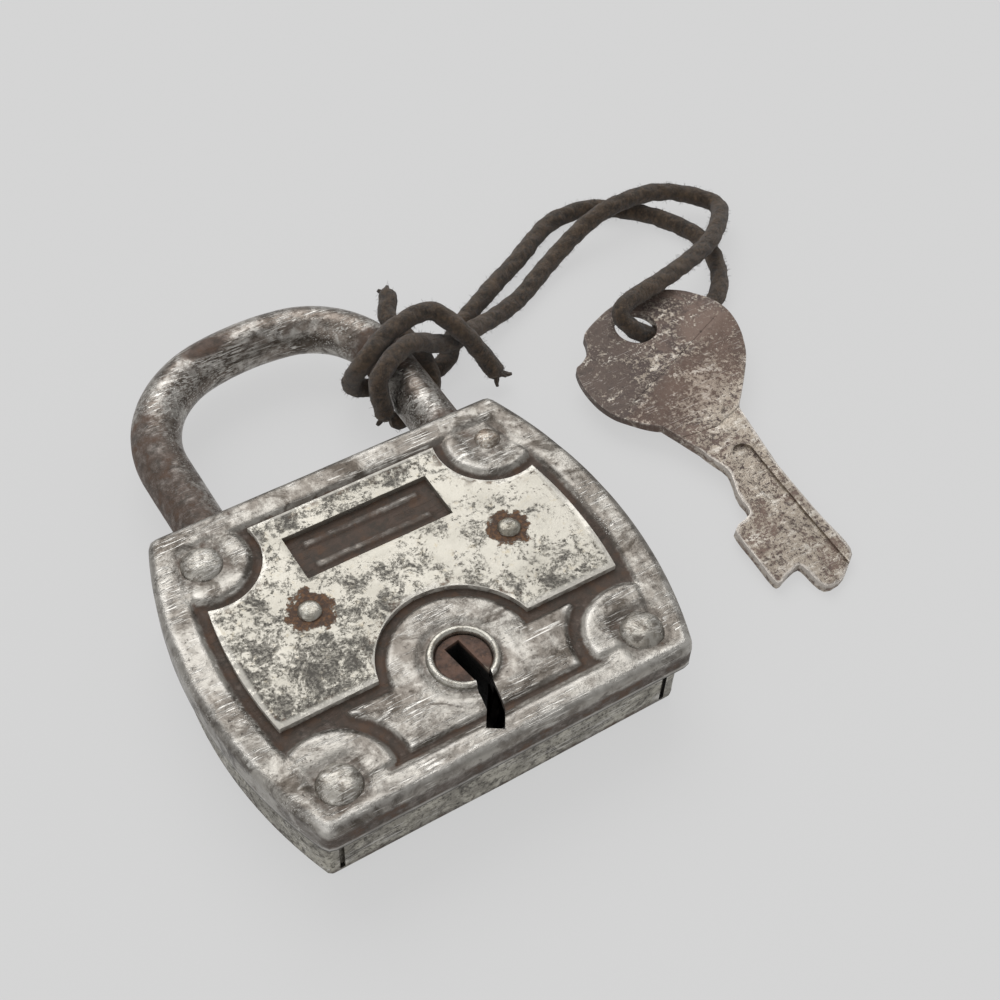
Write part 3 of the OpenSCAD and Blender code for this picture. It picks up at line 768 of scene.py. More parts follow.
key_cord, key_path = cord_piece("key_cord_body", cord_route, "key_cord", 1.0)
cord_tie, tie_path = cord_piece("cord_tie_body", tie_route, "cord_tie", 7.0)


def tuft(bm, start, heading, length, width, curl, seed):
    """One lock of fibres at a cut end, thinning to a point."""
    path, spot, way = [], start.copy(), heading.normalized()
    steps = 9
    for i in range(steps):
        path.append(spot.copy())
        bend = Vector((noise.noise(Vector((seed, i * 0.4, k * 3.1))) for k in range(3)))
        way = (way + curl * 0.22 + bend * 0.3).normalized()
        spot += way * length / steps

    def taper(run, angle, i):
        ragged = 1 + 0.25 * noise.noise(Vector((angle, i * 0.7, seed)))
        return width / 2 * (1 - 0.62 * i / (steps - 1)) * ragged

    lock = swept(path, 7, taper)
    mesh = bpy.data.meshes.new("lock")
    lock.to_mesh(mesh)
    lock.free()
    bm.from_mesh(mesh)
    bpy.data.meshes.remove(mesh)


def frayed(name, path, from_start, locks, seed):
    """Locks that spread from an end of the cord, each (spread vector, length, width)."""
    end, inner = (path[0], path[4]) if from_start else (path[-1], path[-5])
    heading = (end - inner).normalized()
    bm = bmesh.new()
    for k, (spread, length, width) in enumerate(locks):
        spread = Vector(spread)
        root = end - heading * 0.9 + spread * 0.35
        tuft(bm, root, heading + spread * 0.5, length, width, spread, seed + k * 1.7)
    made = loose(bm, name, merge=False)
    dress(made, stray_yarn, "shackle", spread=1)
    put_attribute(made.data, "twist", [0.4] * len(made.data.vertices))
    return made


def hairs(name, path, seed, per_mm=8):
    """Short stray hairs that stand off the cord's skin."""
    rng = random.Random(seed)
    headings, sides = carried_sides(path)
    bm = bmesh.new()
    for _ in range(round(runs_of(path)[-1] * per_mm)):
        i = rng.randrange(len(path))
        angle = rng.uniform(0, 2 * math.pi)
        out = sides[i] * math.cos(angle) + headings[i].cross(sides[i]) * math.sin(angle)
        way = (out + headings[i] * rng.uniform(-1.1, 1.1)).normalized()
        long = rng.uniform(0.35, 0.8)
        root = path[i] + out * (CORD_D / 2 * 0.9)
        middle = root + way * long / 2
        turn = way.to_track_quat("Z", "Y").to_matrix().to_4x4()
        if (root + way * long).z < 0.05:
            continue
        bmesh.ops.create_cone(
            bm, cap_ends=True, segments=3, radius1=0.035, radius2=0.01, depth=long,
            matrix=Matrix.Translation(middle) @ turn,
        )
    made = loose(bm, name, merge=False)
    dress(made, stray_yarn, "shackle", spread=0)
    put_attribute(made.data, "twist", [0.5] * len(made.data.vertices))
    return made


fray_low = frayed(
    "cord_fray_low", key_path, True,
    [((0.9, 0.1, 0.0), 3.0, 1.5), ((-0.5, -0.5, 0.0), 2.6, 1.3), ((0.3, -0.8, 0.3), 2.0, 1.0)], 3.0,
)
fray_front = frayed(
    "cord_fray_front", key_path, False,
    [((0.7, 0.2, 0.1), 2.0, 1.5), ((-0.6, 0.1, 0.1), 2.2, 1.4)], 5.0,
)
fray_back = frayed(
    "cord_fray_back", tie_path, True,
    [((0.5, 0.4, 0.2), 1.9, 1.6), ((-0.6, 0.2, 0.0), 1.7, 1.4)], 9.0,
)
key_hairs = hairs("key_cord_hairs", key_path, 11)
tie_hairs = hairs("cord_tie_hairs", tie_path, 12)

# ---- Sizes of the case ----

low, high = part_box("front_cover")
case_h = (high.y - low.y) / MM
case_w = (high.x - low.x) / MM
case_t = high.z / MM
top_y = case_h / 2
lip_z = low.z / MM
pivot, toe_pin = centre_of("pivot_rivet"), centre_of("toe_rivet")
low_left, low_right = centre_of("rivet_bottom_left"), centre_of("rivet_bottom_right")
case_rivets = (pivot, toe_pin, low_left, low_right)
plate_rivets = [centre_of("plate_rivet_left"), centre_of("plate_rivet_right")]
keyhole = Vector((0, centre_of("plug_bearing").y, 0))
SHEET = 0.9
SIDE_BULGE = 5.3  # how far each side bows out
RELIEF = 0.8  # how far the rim, pads and hump stand above the field
RIM_W = 4.8
EDGE_R, CORNER_R = 1.25, 1.5  # the rolled edge, and the case's corners seen from the front
field_z = case_t - RELIEF
side_r = (top_y**2 + SIDE_BULGE**2) / (2 * SIDE_BULGE)
side_off = side_r - case_w / 2
corner_y = top_y - CORNER_R
corner_x = math.sqrt((side_r - CORNER_R) ** 2 - corner_y**2) - side_off
KEYWAY = [(-0.3, 2.6), (0.7, -3.6), (0.1, -5.9), (-0.4, -8.7), (-2.1, -11.3)]
KEYWAY_W = 2.4
RIVET_HOLE_R, PLATE_RIVET_HOLE_R = 1.5, 1.0


def half_width(y, inset=0.0):
    return math.sqrt((side_r - inset) ** 2 - y * y) - side_off


def ease(value, low, high):
    t = min(1.0, max(0.0, (value - low) / (high - low)))
    return t * t * (3 - 2 * t)


def flat_distance(x, y, centre):
    return math.hypot(x - centre.x, y - centre.y)


def squarish_distance(x, y, centre):
    """Distance from a centre whose circles are squares with soft corners."""
    return (abs(x - centre.x) ** 5 + abs(y - centre.y) ** 5) ** 0.2


def inset_at(x, y):
    """How far inside the case's front outline a point is."""
    return min(side_r - math.hypot(abs(x) + side_off, y), top_y - abs(y))


def keyway_tool(z0, z1):
    line = [Vector((x, y + keyhole.y)) for x, y in KEYWAY]
    return loose(slab(strip(line, KEYWAY_W / 2), z0, z1))


def leg_gaps(z0, z1):
    """Cutters for the two openings in the top edge that the shackle's legs go through."""
    return [block((x0, 23, z0), (x1, 28, z1)) for x0, x1 in ((-26.6, -14.05), (15.85, 24.95))]


def rivet_holes(z0, z1):
    return [drum(c, RIVET_HOLE_R, z0, z1, 32) for c in case_rivets]


def outward(x, y):
    """The way out of the case at a point on its edge, fanned round the corners."""
    from_corner = Vector((abs(x) - corner_x, abs(y) - corner_y))
    lean = math.atan2(corner_y, corner_x + side_off)
    if from_corner.y > from_corner.x * math.tan(lean) and from_corner.x > 0:
        way = from_corner.normalized()
    elif abs(y) > corner_y and from_corner.x <= 0:
        way = Vector((0, 1))
    else:
        way = Vector((abs(x) + side_off, abs(y))).normalized()
    return Vector((way.x * math.copysign(1, x), way.y * math.copysign(1, y), 0))


def raise_wall(bm, rim, levels, dent):
    """Extrudes a sheet's rim through (outward reach, height) levels, dented by a function."""
    start = {v: v.co.copy() for e in rim for v in e.verts}
    for reach, z in levels:
        made = bmesh.ops.extrude_edge_only(bm, edges=rim)["geom"]
        fresh = {g for g in made if isinstance(g, bmesh.types.BMVert)}
        spots = {}
        for v in fresh:
            below = next(e.other_vert(v) for e in v.link_edges if e.other_vert(v) in start)
            spot = spots[v] = start[below]
            v.co = spot + outward(spot.x, spot.y) * (reach + dent(spot, z))
            v.co.z = z
        rim = [g for g in made if isinstance(g, bmesh.types.BMEdge) and set(g.verts) <= fresh]
        start = spots


def thickened(bm, name):
    """A sheet's outer face as a closed sheet."""
    made = loose(bm, name)
    shell = made.modifiers.new("sheet", "SOLIDIFY")
    shell.thickness = SHEET
    shell.offset = -1
    return baked(made)


# ---- Front cover ----

window = Vector((centre_of("name_plate").x - 0.2, 12.9))
WINDOW_W, WINDOW_H = 22.6, 7.8
HUMP_R = 10.4
SKIRT_HALF, SKIRT_TOP, SKIRT_BOTTOM = 17.2, -11.4, 4.7
PAD_GAP_R = 9.4  # the hump stays this far from the lower rivets


def hump_depth(x, y):
    """How far inside the raised hump round the keyhole a point is; negative outside."""
    crest = HUMP_R - flat_distance(x, y, keyhole)
    skirt = min(SKIRT_HALF - abs(x), SKIRT_TOP - y)
    inside = max(crest, min(skirt, 9))
    for rivet in (low_left, low_right):
        inside = min(inside, flat_distance(x, y, rivet) - PAD_GAP_R)
    return min(inside, y + top_y - SKIRT_BOTTOM)


def pressed(x, y):
    """Height of the cover's outer face."""
    inset = inset_at(x, y)
    raised = 1 - ease(inset, RIM_W - 0.9, RIM_W + 0.7)
    for rivet, reach in ((pivot, 6.8), (toe_pin, 6.8), (low_left, 8.0), (low_right, 8.0)):
        raised = max(raised, 1 - ease(flat_distance(x, y, rivet), reach - 1.1, reach + 0.8))
    depth = hump_depth(x, y)
    raised = max(raised, ease(depth, -0.3, 0.9) * (0.72 + 0.28 * ease(depth, 0, 5)))
    z = field_z + RELIEF * raised
    # The rim is softly crowned
    z -= 0.16 * ease(abs(inset - 2.2), 0.6, 2.6) * (1 - ease(inset, 4.4, 5.2))
    # A moat runs round the keyhole's ring, and a groove along the foot of the hump
    ring_away = flat_distance(x, y, keyhole)
    z -= 0.32 * ease(ring_away, 4.5, 5.1) * (1 - ease(ring_away, 5.2, 6.9))
    groove = ease(-y, 20.6, 21.7) * (1 - ease(-y, 22.0, 22.9))
    z -= 0.3 * groove * (1 - ease(abs(x), 15.5, 17.5))
    # Each large rivet pulled the sheet in round it
    for rivet in case_rivets:
        z -= 0.34 * (1 - ease(squarish_distance(x, y, rivet), 2.5, 4.6))
    # Plain raised bars on the window's floor
    wx, wy = x - window.x, y - window.y
    for bar in (-1.95, 1.95):
        z += 0.3 * (1 - ease(abs(wx), 8.6, 9.5)) * (1 - ease(abs(wy - bar), 0.3, 0.95))
    z += 0.10 * noise.noise(Vector((x * 0.16, y * 0.16, 1.7)))
    z += 0.035 * noise.noise(Vector((x * 0.6, y * 0.6, 4.2)))
    return min(z, case_t)


def cover_shell():
    """The pressed front sheet with its rolled edge and its lip."""
    bm = bmesh.new()
    bmesh.ops.create_grid(bm, x_segments=214, y_segments=172, size=0.5)
    fillet = CORNER_R - EDGE_R
    for v in bm.verts:
        y = v.co.y * 2 * (top_y - EDGE_R)
        x = v.co.x * 2 * half_width(y, EDGE_R)
        dx, dy = abs(x) - corner_x, abs(y) - corner_y
        if dx > 0 and dy > 0 and math.hypot(dx, dy) > fillet:
            pull = fillet / math.hypot(dx, dy)
            x = math.copysign(corner_x + dx * pull, x)
            y = math.copysign(corner_y + dy * pull, y)
        v.co = (x, y, pressed(x, y))
    roll = [math.radians(d) for d in (22, 45, 68, 90)]
    levels = [(EDGE_R * math.sin(a), case_t - EDGE_R * (1 - math.cos(a))) for a in roll]
    straight = levels[-1][1] - lip_z
    levels += [(EDGE_R, levels[-1][1] - straight * k / 8) for k in range(1, 9)]

    def dent(spot, z):
        return min(0, 0.10 * noise.noise(Vector((spot.x * 0.2, spot.y * 0.2, z * 0.3))))

    raise_wall(bm, [e for e in bm.edges if e.is_boundary], levels, dent)
    return bm


def cover_rust(v):
    """Where brown rust gathers: the window's floor, round the plate and rivets, and on the lip."""
    co = v.co
    floor_x = 1 - ease(abs(co.x - window.x), WINDOW_W / 2 - 0.7, WINDOW_W / 2 + 0.5)
    floor_y = 1 - ease(abs(co.y - window.y), WINDOW_H / 2 - 0.5, WINDOW_H / 2 + 0.5)
    moat = 1 - ease(co.z, field_z + 0.15, field_z + 0.62)
    moat *= ease(inset_at(co.x, co.y), 3.6, 4.4) * (co.z > field_z - 0.3)
    for rivet in case_rivets:
        moat *= ease(flat_distance(co.x, co.y, rivet), 5.0, 5.8)
    heel = 0.45 * (1 - ease(math.hypot(co.x + 18, co.y - 26), 3, 8))
    bar = ease(co.z, field_z + 0.15, field_z + 0.3)
    seat = 0.0
    for rivet, reach in zip(case_rivets, (4.7, 4.2, 4.9, 4.9)):
        square = squarish_distance(co.x, co.y, rivet)
        seat = max(seat, 0.5 * (1 - ease(square, reach - 1.8, reach)))
    front = ease(-co.y, top_y - 1.6, top_y - 0.5)
    lip = (1 - ease(co.z, case_t - 2.1, case_t - 0.9)) * ease(co.z, lip_z + 0.3, lip_z + 0.9)
    return max(
        floor_x * floor_y * (1 - 0.45 * bar), moat * 0.85, heel, seat, lip * (0.3 + 0.42 * front)
    )


def rubbed_top(v):
    """Bare bright patches where the raised rim, pads and hump are handled most."""
    co = v.co
    raised = ease(co.z, field_z + 0.35, field_z + 0.65)
    patch = ease(noise.noise(Vector((co.x * 0.11, co.y * 0.16, 7.3))), -0.1, 0.35)
    front = 1 - ease(co.y + top_y, 2.5, 5)
    return raised * max(0.24 * patch, 0.22 * front)


def inside_painted_shade(v):
    """1 on faces that look into the case, which are painted near-black as painted shade."""
    way = outward(v.co.x, v.co.y)
    return float(v.normal.z < -0.3 or (v.co.z < case_t - 1.6 and v.normal.dot(way) < -0.2))


cover_steel = worn_steel(
    "worn_pressed_steel", "#a5a19a", "#77716a", "#443d36", "#4d3e34", patches=8.0,
    cover=(0.40, 0.60), speckle=(0.55, 0.68), scratch_turns=(22, 80, 140), rust_share=0.6,
)
cover = thickened(cover_shell(), "front_cover_sheet")
mark_wear(cover.data, 7, (2.2, 3.2))
PLUG_HOLE_R = 3.9
cut_low, cut_high = 5, case_t + 3
carve(cover, [
    drum(keyhole, PLUG_HOLE_R, cut_low, cut_high, 72),
    keyway_tool(cut_low, cut_high),
    *leg_gaps(3, 11.45),
    *[drum(c, PLATE_RIVET_HOLE_R, cut_low, cut_high, 24) for c in plate_rivets],
    *rivet_holes(cut_low, cut_high),
], solver="FAST")
dress(cover, cover_steel, "case", ("front_cover",), spread=None,
      paint={"rust": cover_rust, "rubbed": rubbed_top, "inside": inside_painted_shade})

# ---- Back tray ----

TRAY_IN = 1.2
TRAY_R = 0.9


def tray_shell():
    """The back sheet with its turned-up walls."""
    bm = bmesh.new()
    inset = TRAY_IN + TRAY_R
    lip = 0.35
    rise, wide = 26, 12
    points = []
    for i in range(rise + 1):
        y = (top_y - inset - lip) * (2 * i / rise - 1)
        points.append((half_width(y, inset), y))
    corner = half_width(top_y - inset, inset) - lip
    points += [(corner * (1 - 2 * i / wide), top_y - inset) for i in range(wide + 1)]
    outline = points + [(-x, -y) for x, y in points]
    base = bm.faces.new([bm.verts.new((x, y, 0)) for x, y in outline])
    wall_top = case_t - SHEET
    turn = [math.radians(d) for d in (30, 60, 90)]
    levels = [(TRAY_R * math.sin(a), TRAY_R * (1 - math.cos(a))) for a in turn]
    levels += [(TRAY_R, TRAY_R + (wall_top - TRAY_R) * k / 14) for k in range(1, 15)]

    def dent(spot, z):
        return -abs(0.16 * noise.noise(Vector((spot.x * 0.12, spot.y * 0.12, z * 0.12)))) * (z > 1)

    raise_wall(bm, list(base.edges), levels, dent)
    return bm


tray_steel = worn_steel(
    "speckled_case_steel", "#b8b4a8", "#8f8b81", "#403b35", "#4f4036", patches=4.0,
    cover=(0.38, 0.58), speckle=(0.495, 0.625), scratch_turns=(4, 88, 45), rust_share=0.4,
    shine=0.34,
)


def tray_foot(v):
    """Brown along the tray's lower edge, fading out 2.6 mm up."""
    return 0.62 * (1 - ease(v.co.z, 0.6, 2.6))


def tray_inside_painted_shade(v):
    """1 on faces that look into the case, which are painted near-black as painted shade."""
    way = outward(v.co.x, v.co.y)
    return float(v.normal.z > 0.3 or v.normal.dot(way) < -0.2)



tray = thickened(tray_shell(), "back_tray_sheet")
SLIT_HALF = 0.375
slit_x = case_w / 2 - SIDE_BULGE - 2.1 - SLIT_HALF
wall_y = top_y - TRAY_IN
slits = [
    block((sx * slit_x - SLIT_HALF, sy * wall_y - 1.1, SHEET),
          (sx * slit_x + SLIT_HALF, sy * wall_y + 1.1, case_t))
    for sx in (-1, 1) for sy in (-1, 1)
]
PLUG_END_R, PIN_HOLE_R = 2.8, 1.2
carve(tray, [
    *slits,
    *leg_gaps(3.15, case_t),
    drum(keyhole, PLUG_END_R, -1, 2),
    *rivet_holes(-1, 2),
    *[drum(centre_of(n), PIN_HOLE_R, -1, 2, 32) for n in ("bolt_pin_left", "bolt_pin_right")],
])
rounded(tray, 0.12, 2)
dress(tray, tray_steel, "case", ("back_tray",), spread=1, gain=(1.2, 1.2),
      paint={"rust": tray_foot, "inside": tray_inside_painted_shade})

# ---- Name plate ----

PLATE_T = 0.9
PLATE_INSET = 6.2
PLATE_BOTTOM, PLATE_TOP = -10.0, 20.8
PLATE_PAD_R, PLATE_ARCH_R = 8.2, 11.5  # cut-outs round the upper rivets and the keyhole
plate_z = field_z + PLATE_T


def plate_outline():
    """Flat outline inside the rim, cut straight at top and bottom."""
    rows = 30
    ys = [PLATE_BOTTOM + (PLATE_TOP - PLATE_BOTTOM) * i / rows for i in range(rows + 1)]
    right = [(half_width(y, PLATE_INSET), y) for y in ys]
    return right + [(-x, y) for x, y in reversed(right)]


plate = loose(slab(plate_outline(), field_z - 0.02, plate_z), "nameless_plate")
cut_low, cut_high = 12, 16
carve(plate, [
    drum(pivot, PLATE_PAD_R, cut_low, cut_high, 96),
    drum(toe_pin, PLATE_PAD_R, cut_low, cut_high, 96),
    drum(keyhole, PLATE_ARCH_R, cut_low, cut_high, 128),
    block((window.x - WINDOW_W / 2, window.y - WINDOW_H / 2, cut_low),
          (window.x + WINDOW_W / 2, window.y + WINDOW_H / 2, cut_high)),
    *[drum(c, PLATE_RIVET_HOLE_R, cut_low, cut_high, 24) for c in plate_rivets],
])


def crumpled(made, step, depth, seed):
    """Cuts a flat piece into small cells, and lets its top face wave a little."""
    bm = bmesh.new()
    bm.from_mesh(made.data)
    xs = [v.co.x for v in bm.verts]
    ys = [v.co.y for v in bm.verts]
    for axis, low_end, high_end in ((0, min(xs), max(xs)), (1, min(ys), max(ys))):
        cut = low_end + step
        while cut < high_end:
            spot, normal = Vector((0, 0, 0)), Vector((0, 0, 0))
            spot[axis], normal[axis] = cut, 1
            everything = bm.verts[:] + bm.edges[:] + bm.faces[:]
            bmesh.ops.bisect_plane(
                bm, geom=everything, plane_co=spot, plane_no=normal, dist=0.001
            )
            cut += step
    for v in bm.verts:
        v.co.z += depth * (noise.noise(Vector((v.co.x * 0.11, v.co.y * 0.11, seed))) - 0.2)
    bm.to_mesh(made.data)
    bm.free()
    return made


rounded(crumpled(plate, 1.5, 0.09, 2.0), 0.22, 2)
plate_nickel = plated_sheet("nickelled_plate", [
    (Vector((rivet.x, rivet.y, case_t)), reach) for rivet, reach in zip(plate_rivets, (3.9, 3.6))
])


def from_plate_edge(co):
    """Distance from a point of the plate to its outline."""
    side = half_width(co.y, PLATE_INSET) - abs(co.x)
    arch = flat_distance(co.x, co.y, keyhole) - PLATE_ARCH_R
    ends = min(PLATE_TOP - co.y, co.y - PLATE_BOTTOM)
    pads = min(flat_distance(co.x, co.y, pivot), flat_distance(co.x, co.y, toe_pin)) - PLATE_PAD_R
    return min(side, arch, ends, pads)


def tarnished(v):
    """The nickel is greyest at the lower left, and again along the top."""
    return max(1 - ease(v.co.y * 0.9 + v.co.x * 0.35, -12, 16), 0.9 * ease(v.co.y, 15, 20))


def plate_rim(v):
    """Near the plate's own edges, where the nickel has let go first."""
    return 1 - ease(from_plate_edge(v.co), 0.1, 1.5)


def plate_edge(v):
    return 1 - ease(from_plate_edge(v.co), 0.04, 0.2)


dress(plate, plate_nickel, "case", ("name_plate",), spread=None,
      paint={"rim": plate_rim, "edge": plate_edge, "tarnish": tarnished})

# ---- Rivets ----


def rivet_profile(radius, height, low_z, head_z, shank, flat=0.35):
    """A rivet from its lower end up its shank and over a low head with a worn crown."""
    points = [
        (0, low_z), (shank - 0.15, low_z), (shank, low_z + 0.15), (shank, head_z),
        (radius - 0.12, head_z),
    ]
    for k in range(12):
        a = math.radians(8 + 82 * k / 11)
        points.append((radius * math.cos(a) ** (1 - flat * 0.5), head_z + height * math.sin(a)))
    points.append((0, head_z + height))
    return points


rivet_steel = worn_steel(
    "rivet_steel", "#b0aca4", "#8b857c", "#5b544c", "#584740", patches=3.0, cover=(0.44, 0.66),
    speckle=(0.57, 0.7), rust_share=0.5, shine=0.27, edge_gain=0.8, bundles=(0.44, 0.58),
)
toe_steel = worn_steel(
    "toe_rivet_steel", "#aaa297", "#8b7d70", "#5d5046", "#6a5546", patches=1.6, cover=(0.45, 0.6),
    speckle=(0.55, 0.66), rust_share=0.5, shine=0.28, edge_gain=0.6,
)
HEAD_Z = 13.75
for name, node, centre, radius, height, finish, seed in (
    ("pivot_rivet_head", "pivot_rivet", pivot, 3.0, 1.4, rivet_steel, 1),
    ("toe_rivet_head", "toe_rivet", toe_pin, 1.95, 1.05, toe_steel, 2),
    ("low_left_rivet_head", "rivet_bottom_left", low_left, 3.1, 1.4, rivet_steel, 3),
    ("low_right_rivet_head", "rivet_bottom_right", low_right, 3.1, 1.4, rivet_steel, 4),
):
    bm = turned(rivet_profile(radius, height, 0, HEAD_Z, RIVET_HOLE_R - 0.02), centre)
    batter(bm, 0.14, 1.3, seed, above=HEAD_Z + 0.2)
    dress(loose(bm, name), finish, "case", (node,), gain=(0.5, 1.5))

plate_rivet_finish = [
    worn_steel("plate_rivet_bright", "#b2afa6", "#a29e94", "#8b867c", "#6b574a", patches=1.5,
               speckle=(0.62, 0.74), shine=0.28, rust_share=0.3, edge_gain=0.4),
    worn_steel("plate_rivet_worn", "#a5a196", "#7f796e", "#6a6459", "#6b574a", patches=1.0,
               cover=(0.4, 0.56), speckle=(0.54, 0.64), shine=0.26, rust_share=0.4, edge_gain=0.5),
]
for side, centre, finish, seed in zip(("left", "right"), plate_rivets, plate_rivet_finish, (5, 6)):
    shank = PLATE_RIVET_HOLE_R - 0.02
    bm = turned(rivet_profile(1.68, 0.8, 12.75, plate_z - 0.03, shank, flat=0.7), centre, 40)
    batter(bm, 0.09, 0.9, seed, above=plate_z + 0.1)
    dress(loose(bm, f"plate_rivet_{side}_head"), finish, "case",
          (f"plate_rivet_{side}",), gain=(0.5, 1.5))

# ---- Keyhole ring and plug ----

RING_OUT, RING_IN = 4.94, 3.87
ring_section = [
    (RING_IN, -0.75), (RING_IN, 0.05), (RING_IN + 0.12, 0.29), (RING_IN + 0.36, 0.44),
    (RING_OUT - 0.34, 0.44), (RING_OUT - 0.1, 0.27), (RING_OUT, -0.03), (RING_OUT, -0.75),
    (RING_IN, -0.75),
]
ring_bm = turned([(r, case_t + up) for r, up in ring_section], keyhole, 96)
ring = carve(loose(ring_bm, "keyhole_rim"), [keyway_tool(case_t - 2, case_t + 2)])
ring_steel = worn_steel(
    "polished_ring_steel", "#b5b2a9", "#9a958b", "#837c72", "#6b584b", patches=2.2,
    cover=(0.5, 0.7), speckle=(0.6, 0.72), shine=0.24, rust_share=0.6, edge_gain=0.6,
)
dress(ring, ring_steel, "case", ("keyhole_ring",), spread=1, gain=(0.6, 1.6))

plug_low, plug_high = (b.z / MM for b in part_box("key_plug"))
PLUG_R, FLANGE_R = 3.8, 5.2
plug_bm = turned(
    [(0, plug_low), (PLUG_R - 0.15, plug_low), (PLUG_R, plug_low + 0.15),
     (PLUG_R, plug_high - 2.75), (FLANGE_R, plug_high - 2.7), (FLANGE_R, plug_high - 1.35),
     (PLUG_R, plug_high - 1.3), (PLUG_R, plug_high), (PLUG_R - 0.2, plug_high + 0.18),
     (PLUG_R - 0.6, plug_high + 0.2), (0, plug_high + 0.2)],
    keyhole, 72,
)
plug = carve(loose(plug_bm, "key_plug_disc"), [keyway_tool(-2, case_t + 2)])
# Painted shade: the plug is near-black below its top, down in the ring and keyway
plug_rust = brown_oxide(
    "rusty_plug", "#8a6d5b", "#6b5347", "#4a3c35", size=1.8, painted_shade_below=plug_high + 0.05
)
dress(plug, plug_rust, "plug", ("key_plug",), spread=1, gain=(0.8, 1.0))

# ---- Shackle ----

BAR_R = 3.8
BAR_Z = 7.3
HEEL_X, TOE_X = -18.2, 20.8
NECK_Y = top_y - 3
HEEL_TOP, TOE_TOP = 41.3, 45.5  # where each leg's bend starts
HEEL_BEND, TOE_BEND, CROWN_BEND = 17.5, 13.4, 37.4
toe_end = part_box("shackle_toe_tip")[0].y / MM


def bar_line():
    """Middle line of the bar: up the toe leg, over the crown and down the heel leg."""
    heel_c, toe_c = Vector((HEEL_X + HEEL_BEND, HEEL_TOP)), Vector((TOE_X - TOE_BEND, TOE_TOP))
    apart = (toe_c - heel_c).length
    u = (toe_c - heel_c) / apart
    r1, r2 = CROWN_BEND - HEEL_BEND, CROWN_BEND - TOE_BEND
    a = (r1 * r1 - r2 * r2 + apart * apart) / (2 * apart)
    crown_c = heel_c + u * a + Vector((u.y, -u.x)) * math.sqrt(r1 * r1 - a * a)
    heel_a = math.atan2(heel_c.y - crown_c.y, heel_c.x - crown_c.x)
    toe_a = math.atan2(toe_c.y - crown_c.y, toe_c.x - crown_c.x)
    points = [Vector((TOE_X, toe_end + (TOE_TOP - toe_end) * i / 60)) for i in range(60)]
    for centre, radius, a0, a1, steps in (
        (toe_c, TOE_BEND, 0, toe_a, 36), (crown_c, CROWN_BEND, toe_a, heel_a, 20),
        (heel_c, HEEL_BEND, heel_a, math.pi, 44),
    ):
        for i in range(steps):
            t = a0 + (a1 - a0) * i / steps
            points.append(centre + radius * Vector((math.cos(t), math.sin(t))))
    down = HEEL_TOP - (NECK_Y - 1)
    points += [Vector((HEEL_X, HEEL_TOP - down * i / 36)) for i in range(37)]
    return [Vector((p.x, p.y, BAR_Z)) for p in points]


def bar_section(run, angle, i):
    """Round bar, drawn a little uneven."""
    spot = Vector((math.cos(angle) * 1.4, math.sin(angle) * 1.4, run * 0.16))
    return BAR_R * (1 - 0.012 + 0.012 * noise.noise(spot) + 0.004 * noise.noise(spot * 4))


# The toe has a flat on its outer side and a notch for the bolt on its inner side
bar = loose(swept(bar_line(), 48, bar_section), "shackle_bar")
notch_x, notch_y, NOTCH_HALF = TOE_X - BAR_R, toe_end + 3.7, 1.75
carve(bar, [
    block((20.6, toe_end - 1, 0), (28, NECK_Y, 15)),
    block((notch_x - 2, notch_y - NOTCH_HALF, 0), (notch_x + 1.85, notch_y + NOTCH_HALF, 15)),
])
# The heel is flattened into an eye for the pivot rivet
EYE_R, EYE_T = 3.6, 5
eye_bm = bmesh.new()
bmesh.ops.create_cone(eye_bm, cap_ends=True, segments=48, radius1=EYE_R, radius2=EYE_R, depth=EYE_T,
                      matrix=Matrix.Translation((pivot.x, pivot.y, BAR_Z)))
for x, y in (
    (HEEL_X - 3.5, NECK_Y), (HEEL_X + 3.5, pivot.y + 1.5), (HEEL_X + 3.5, NECK_Y),
):
    for z in (BAR_Z - EYE_T / 2, BAR_Z + EYE_T / 2):
        eye_bm.verts.new((x, y, z))
bmesh.ops.convex_hull(eye_bm, input=eye_bm.verts)
carve(bar, [loose(eye_bm)], "UNION")
carve(bar, [drum(pivot, RIVET_HOLE_R + 0.05, 2, 13, 40)])


def bar_rust(v):
    """Brown skin by the case, on the outer bend, under the cord and down the toe leg's right side,
    with painted shade on the bar's lower half.
    """
    co = v.co
    along = (co.x + 3.4) * 0.99 + (co.y - 58.6) * 0.14
    across = (co.y - 58.6) * 0.99 - (co.x + 3.4) * 0.14
    away = math.hypot(along * 0.5, across * 1.1) + abs(co.z - 10) * 0.4
    patch = 0.95 * (1 - ease(away, 1.4, 3.4))
    feet = 0.75 * (1 - ease(co.y, 27, 33)) * (co.y > 24)
    toe_side = 0.7 * ease(co.x, 22.5, 24) * (1 - ease(co.y, 38, 46))
    # Painted shade: the bar's lower half, towards the floor, is browned
    inner = 0.35 * (1 - ease(co.z, 4.5, 8))
    left = 0.72 * (1 - ease(co.x, -19, -11)) * (1 - ease(co.y, 48, 58))
    knot = 0.8 * (1 - ease(math.hypot(co.x - 20, co.y - 45), 3, 8))
    return max(patch, feet, toe_side, inner, left, knot)


shackle_steel = worn_steel(
    "worn_round_bar", "#b5b1ab", "#7b726a", "#453d36", "#5a493f", patches=5.0, cover=(0.38, 0.58),
    speckle=(0.53, 0.66), scratch_turns=(64, 10, 100), rust_share=0.3, edge_gain=0.0, shine=0.25,
    streaks=(0.8, 7, 86), bundles=(0.46, 0.6), scratches=0.85,
)
dress(bar, shackle_steel, "shackle",
      ("shackle", "shackle_toe_web", "shackle_toe_tip"),
      spread=1, gain=(0.2, 1.0), paint={"rust": bar_rust})

# ---- Key ----

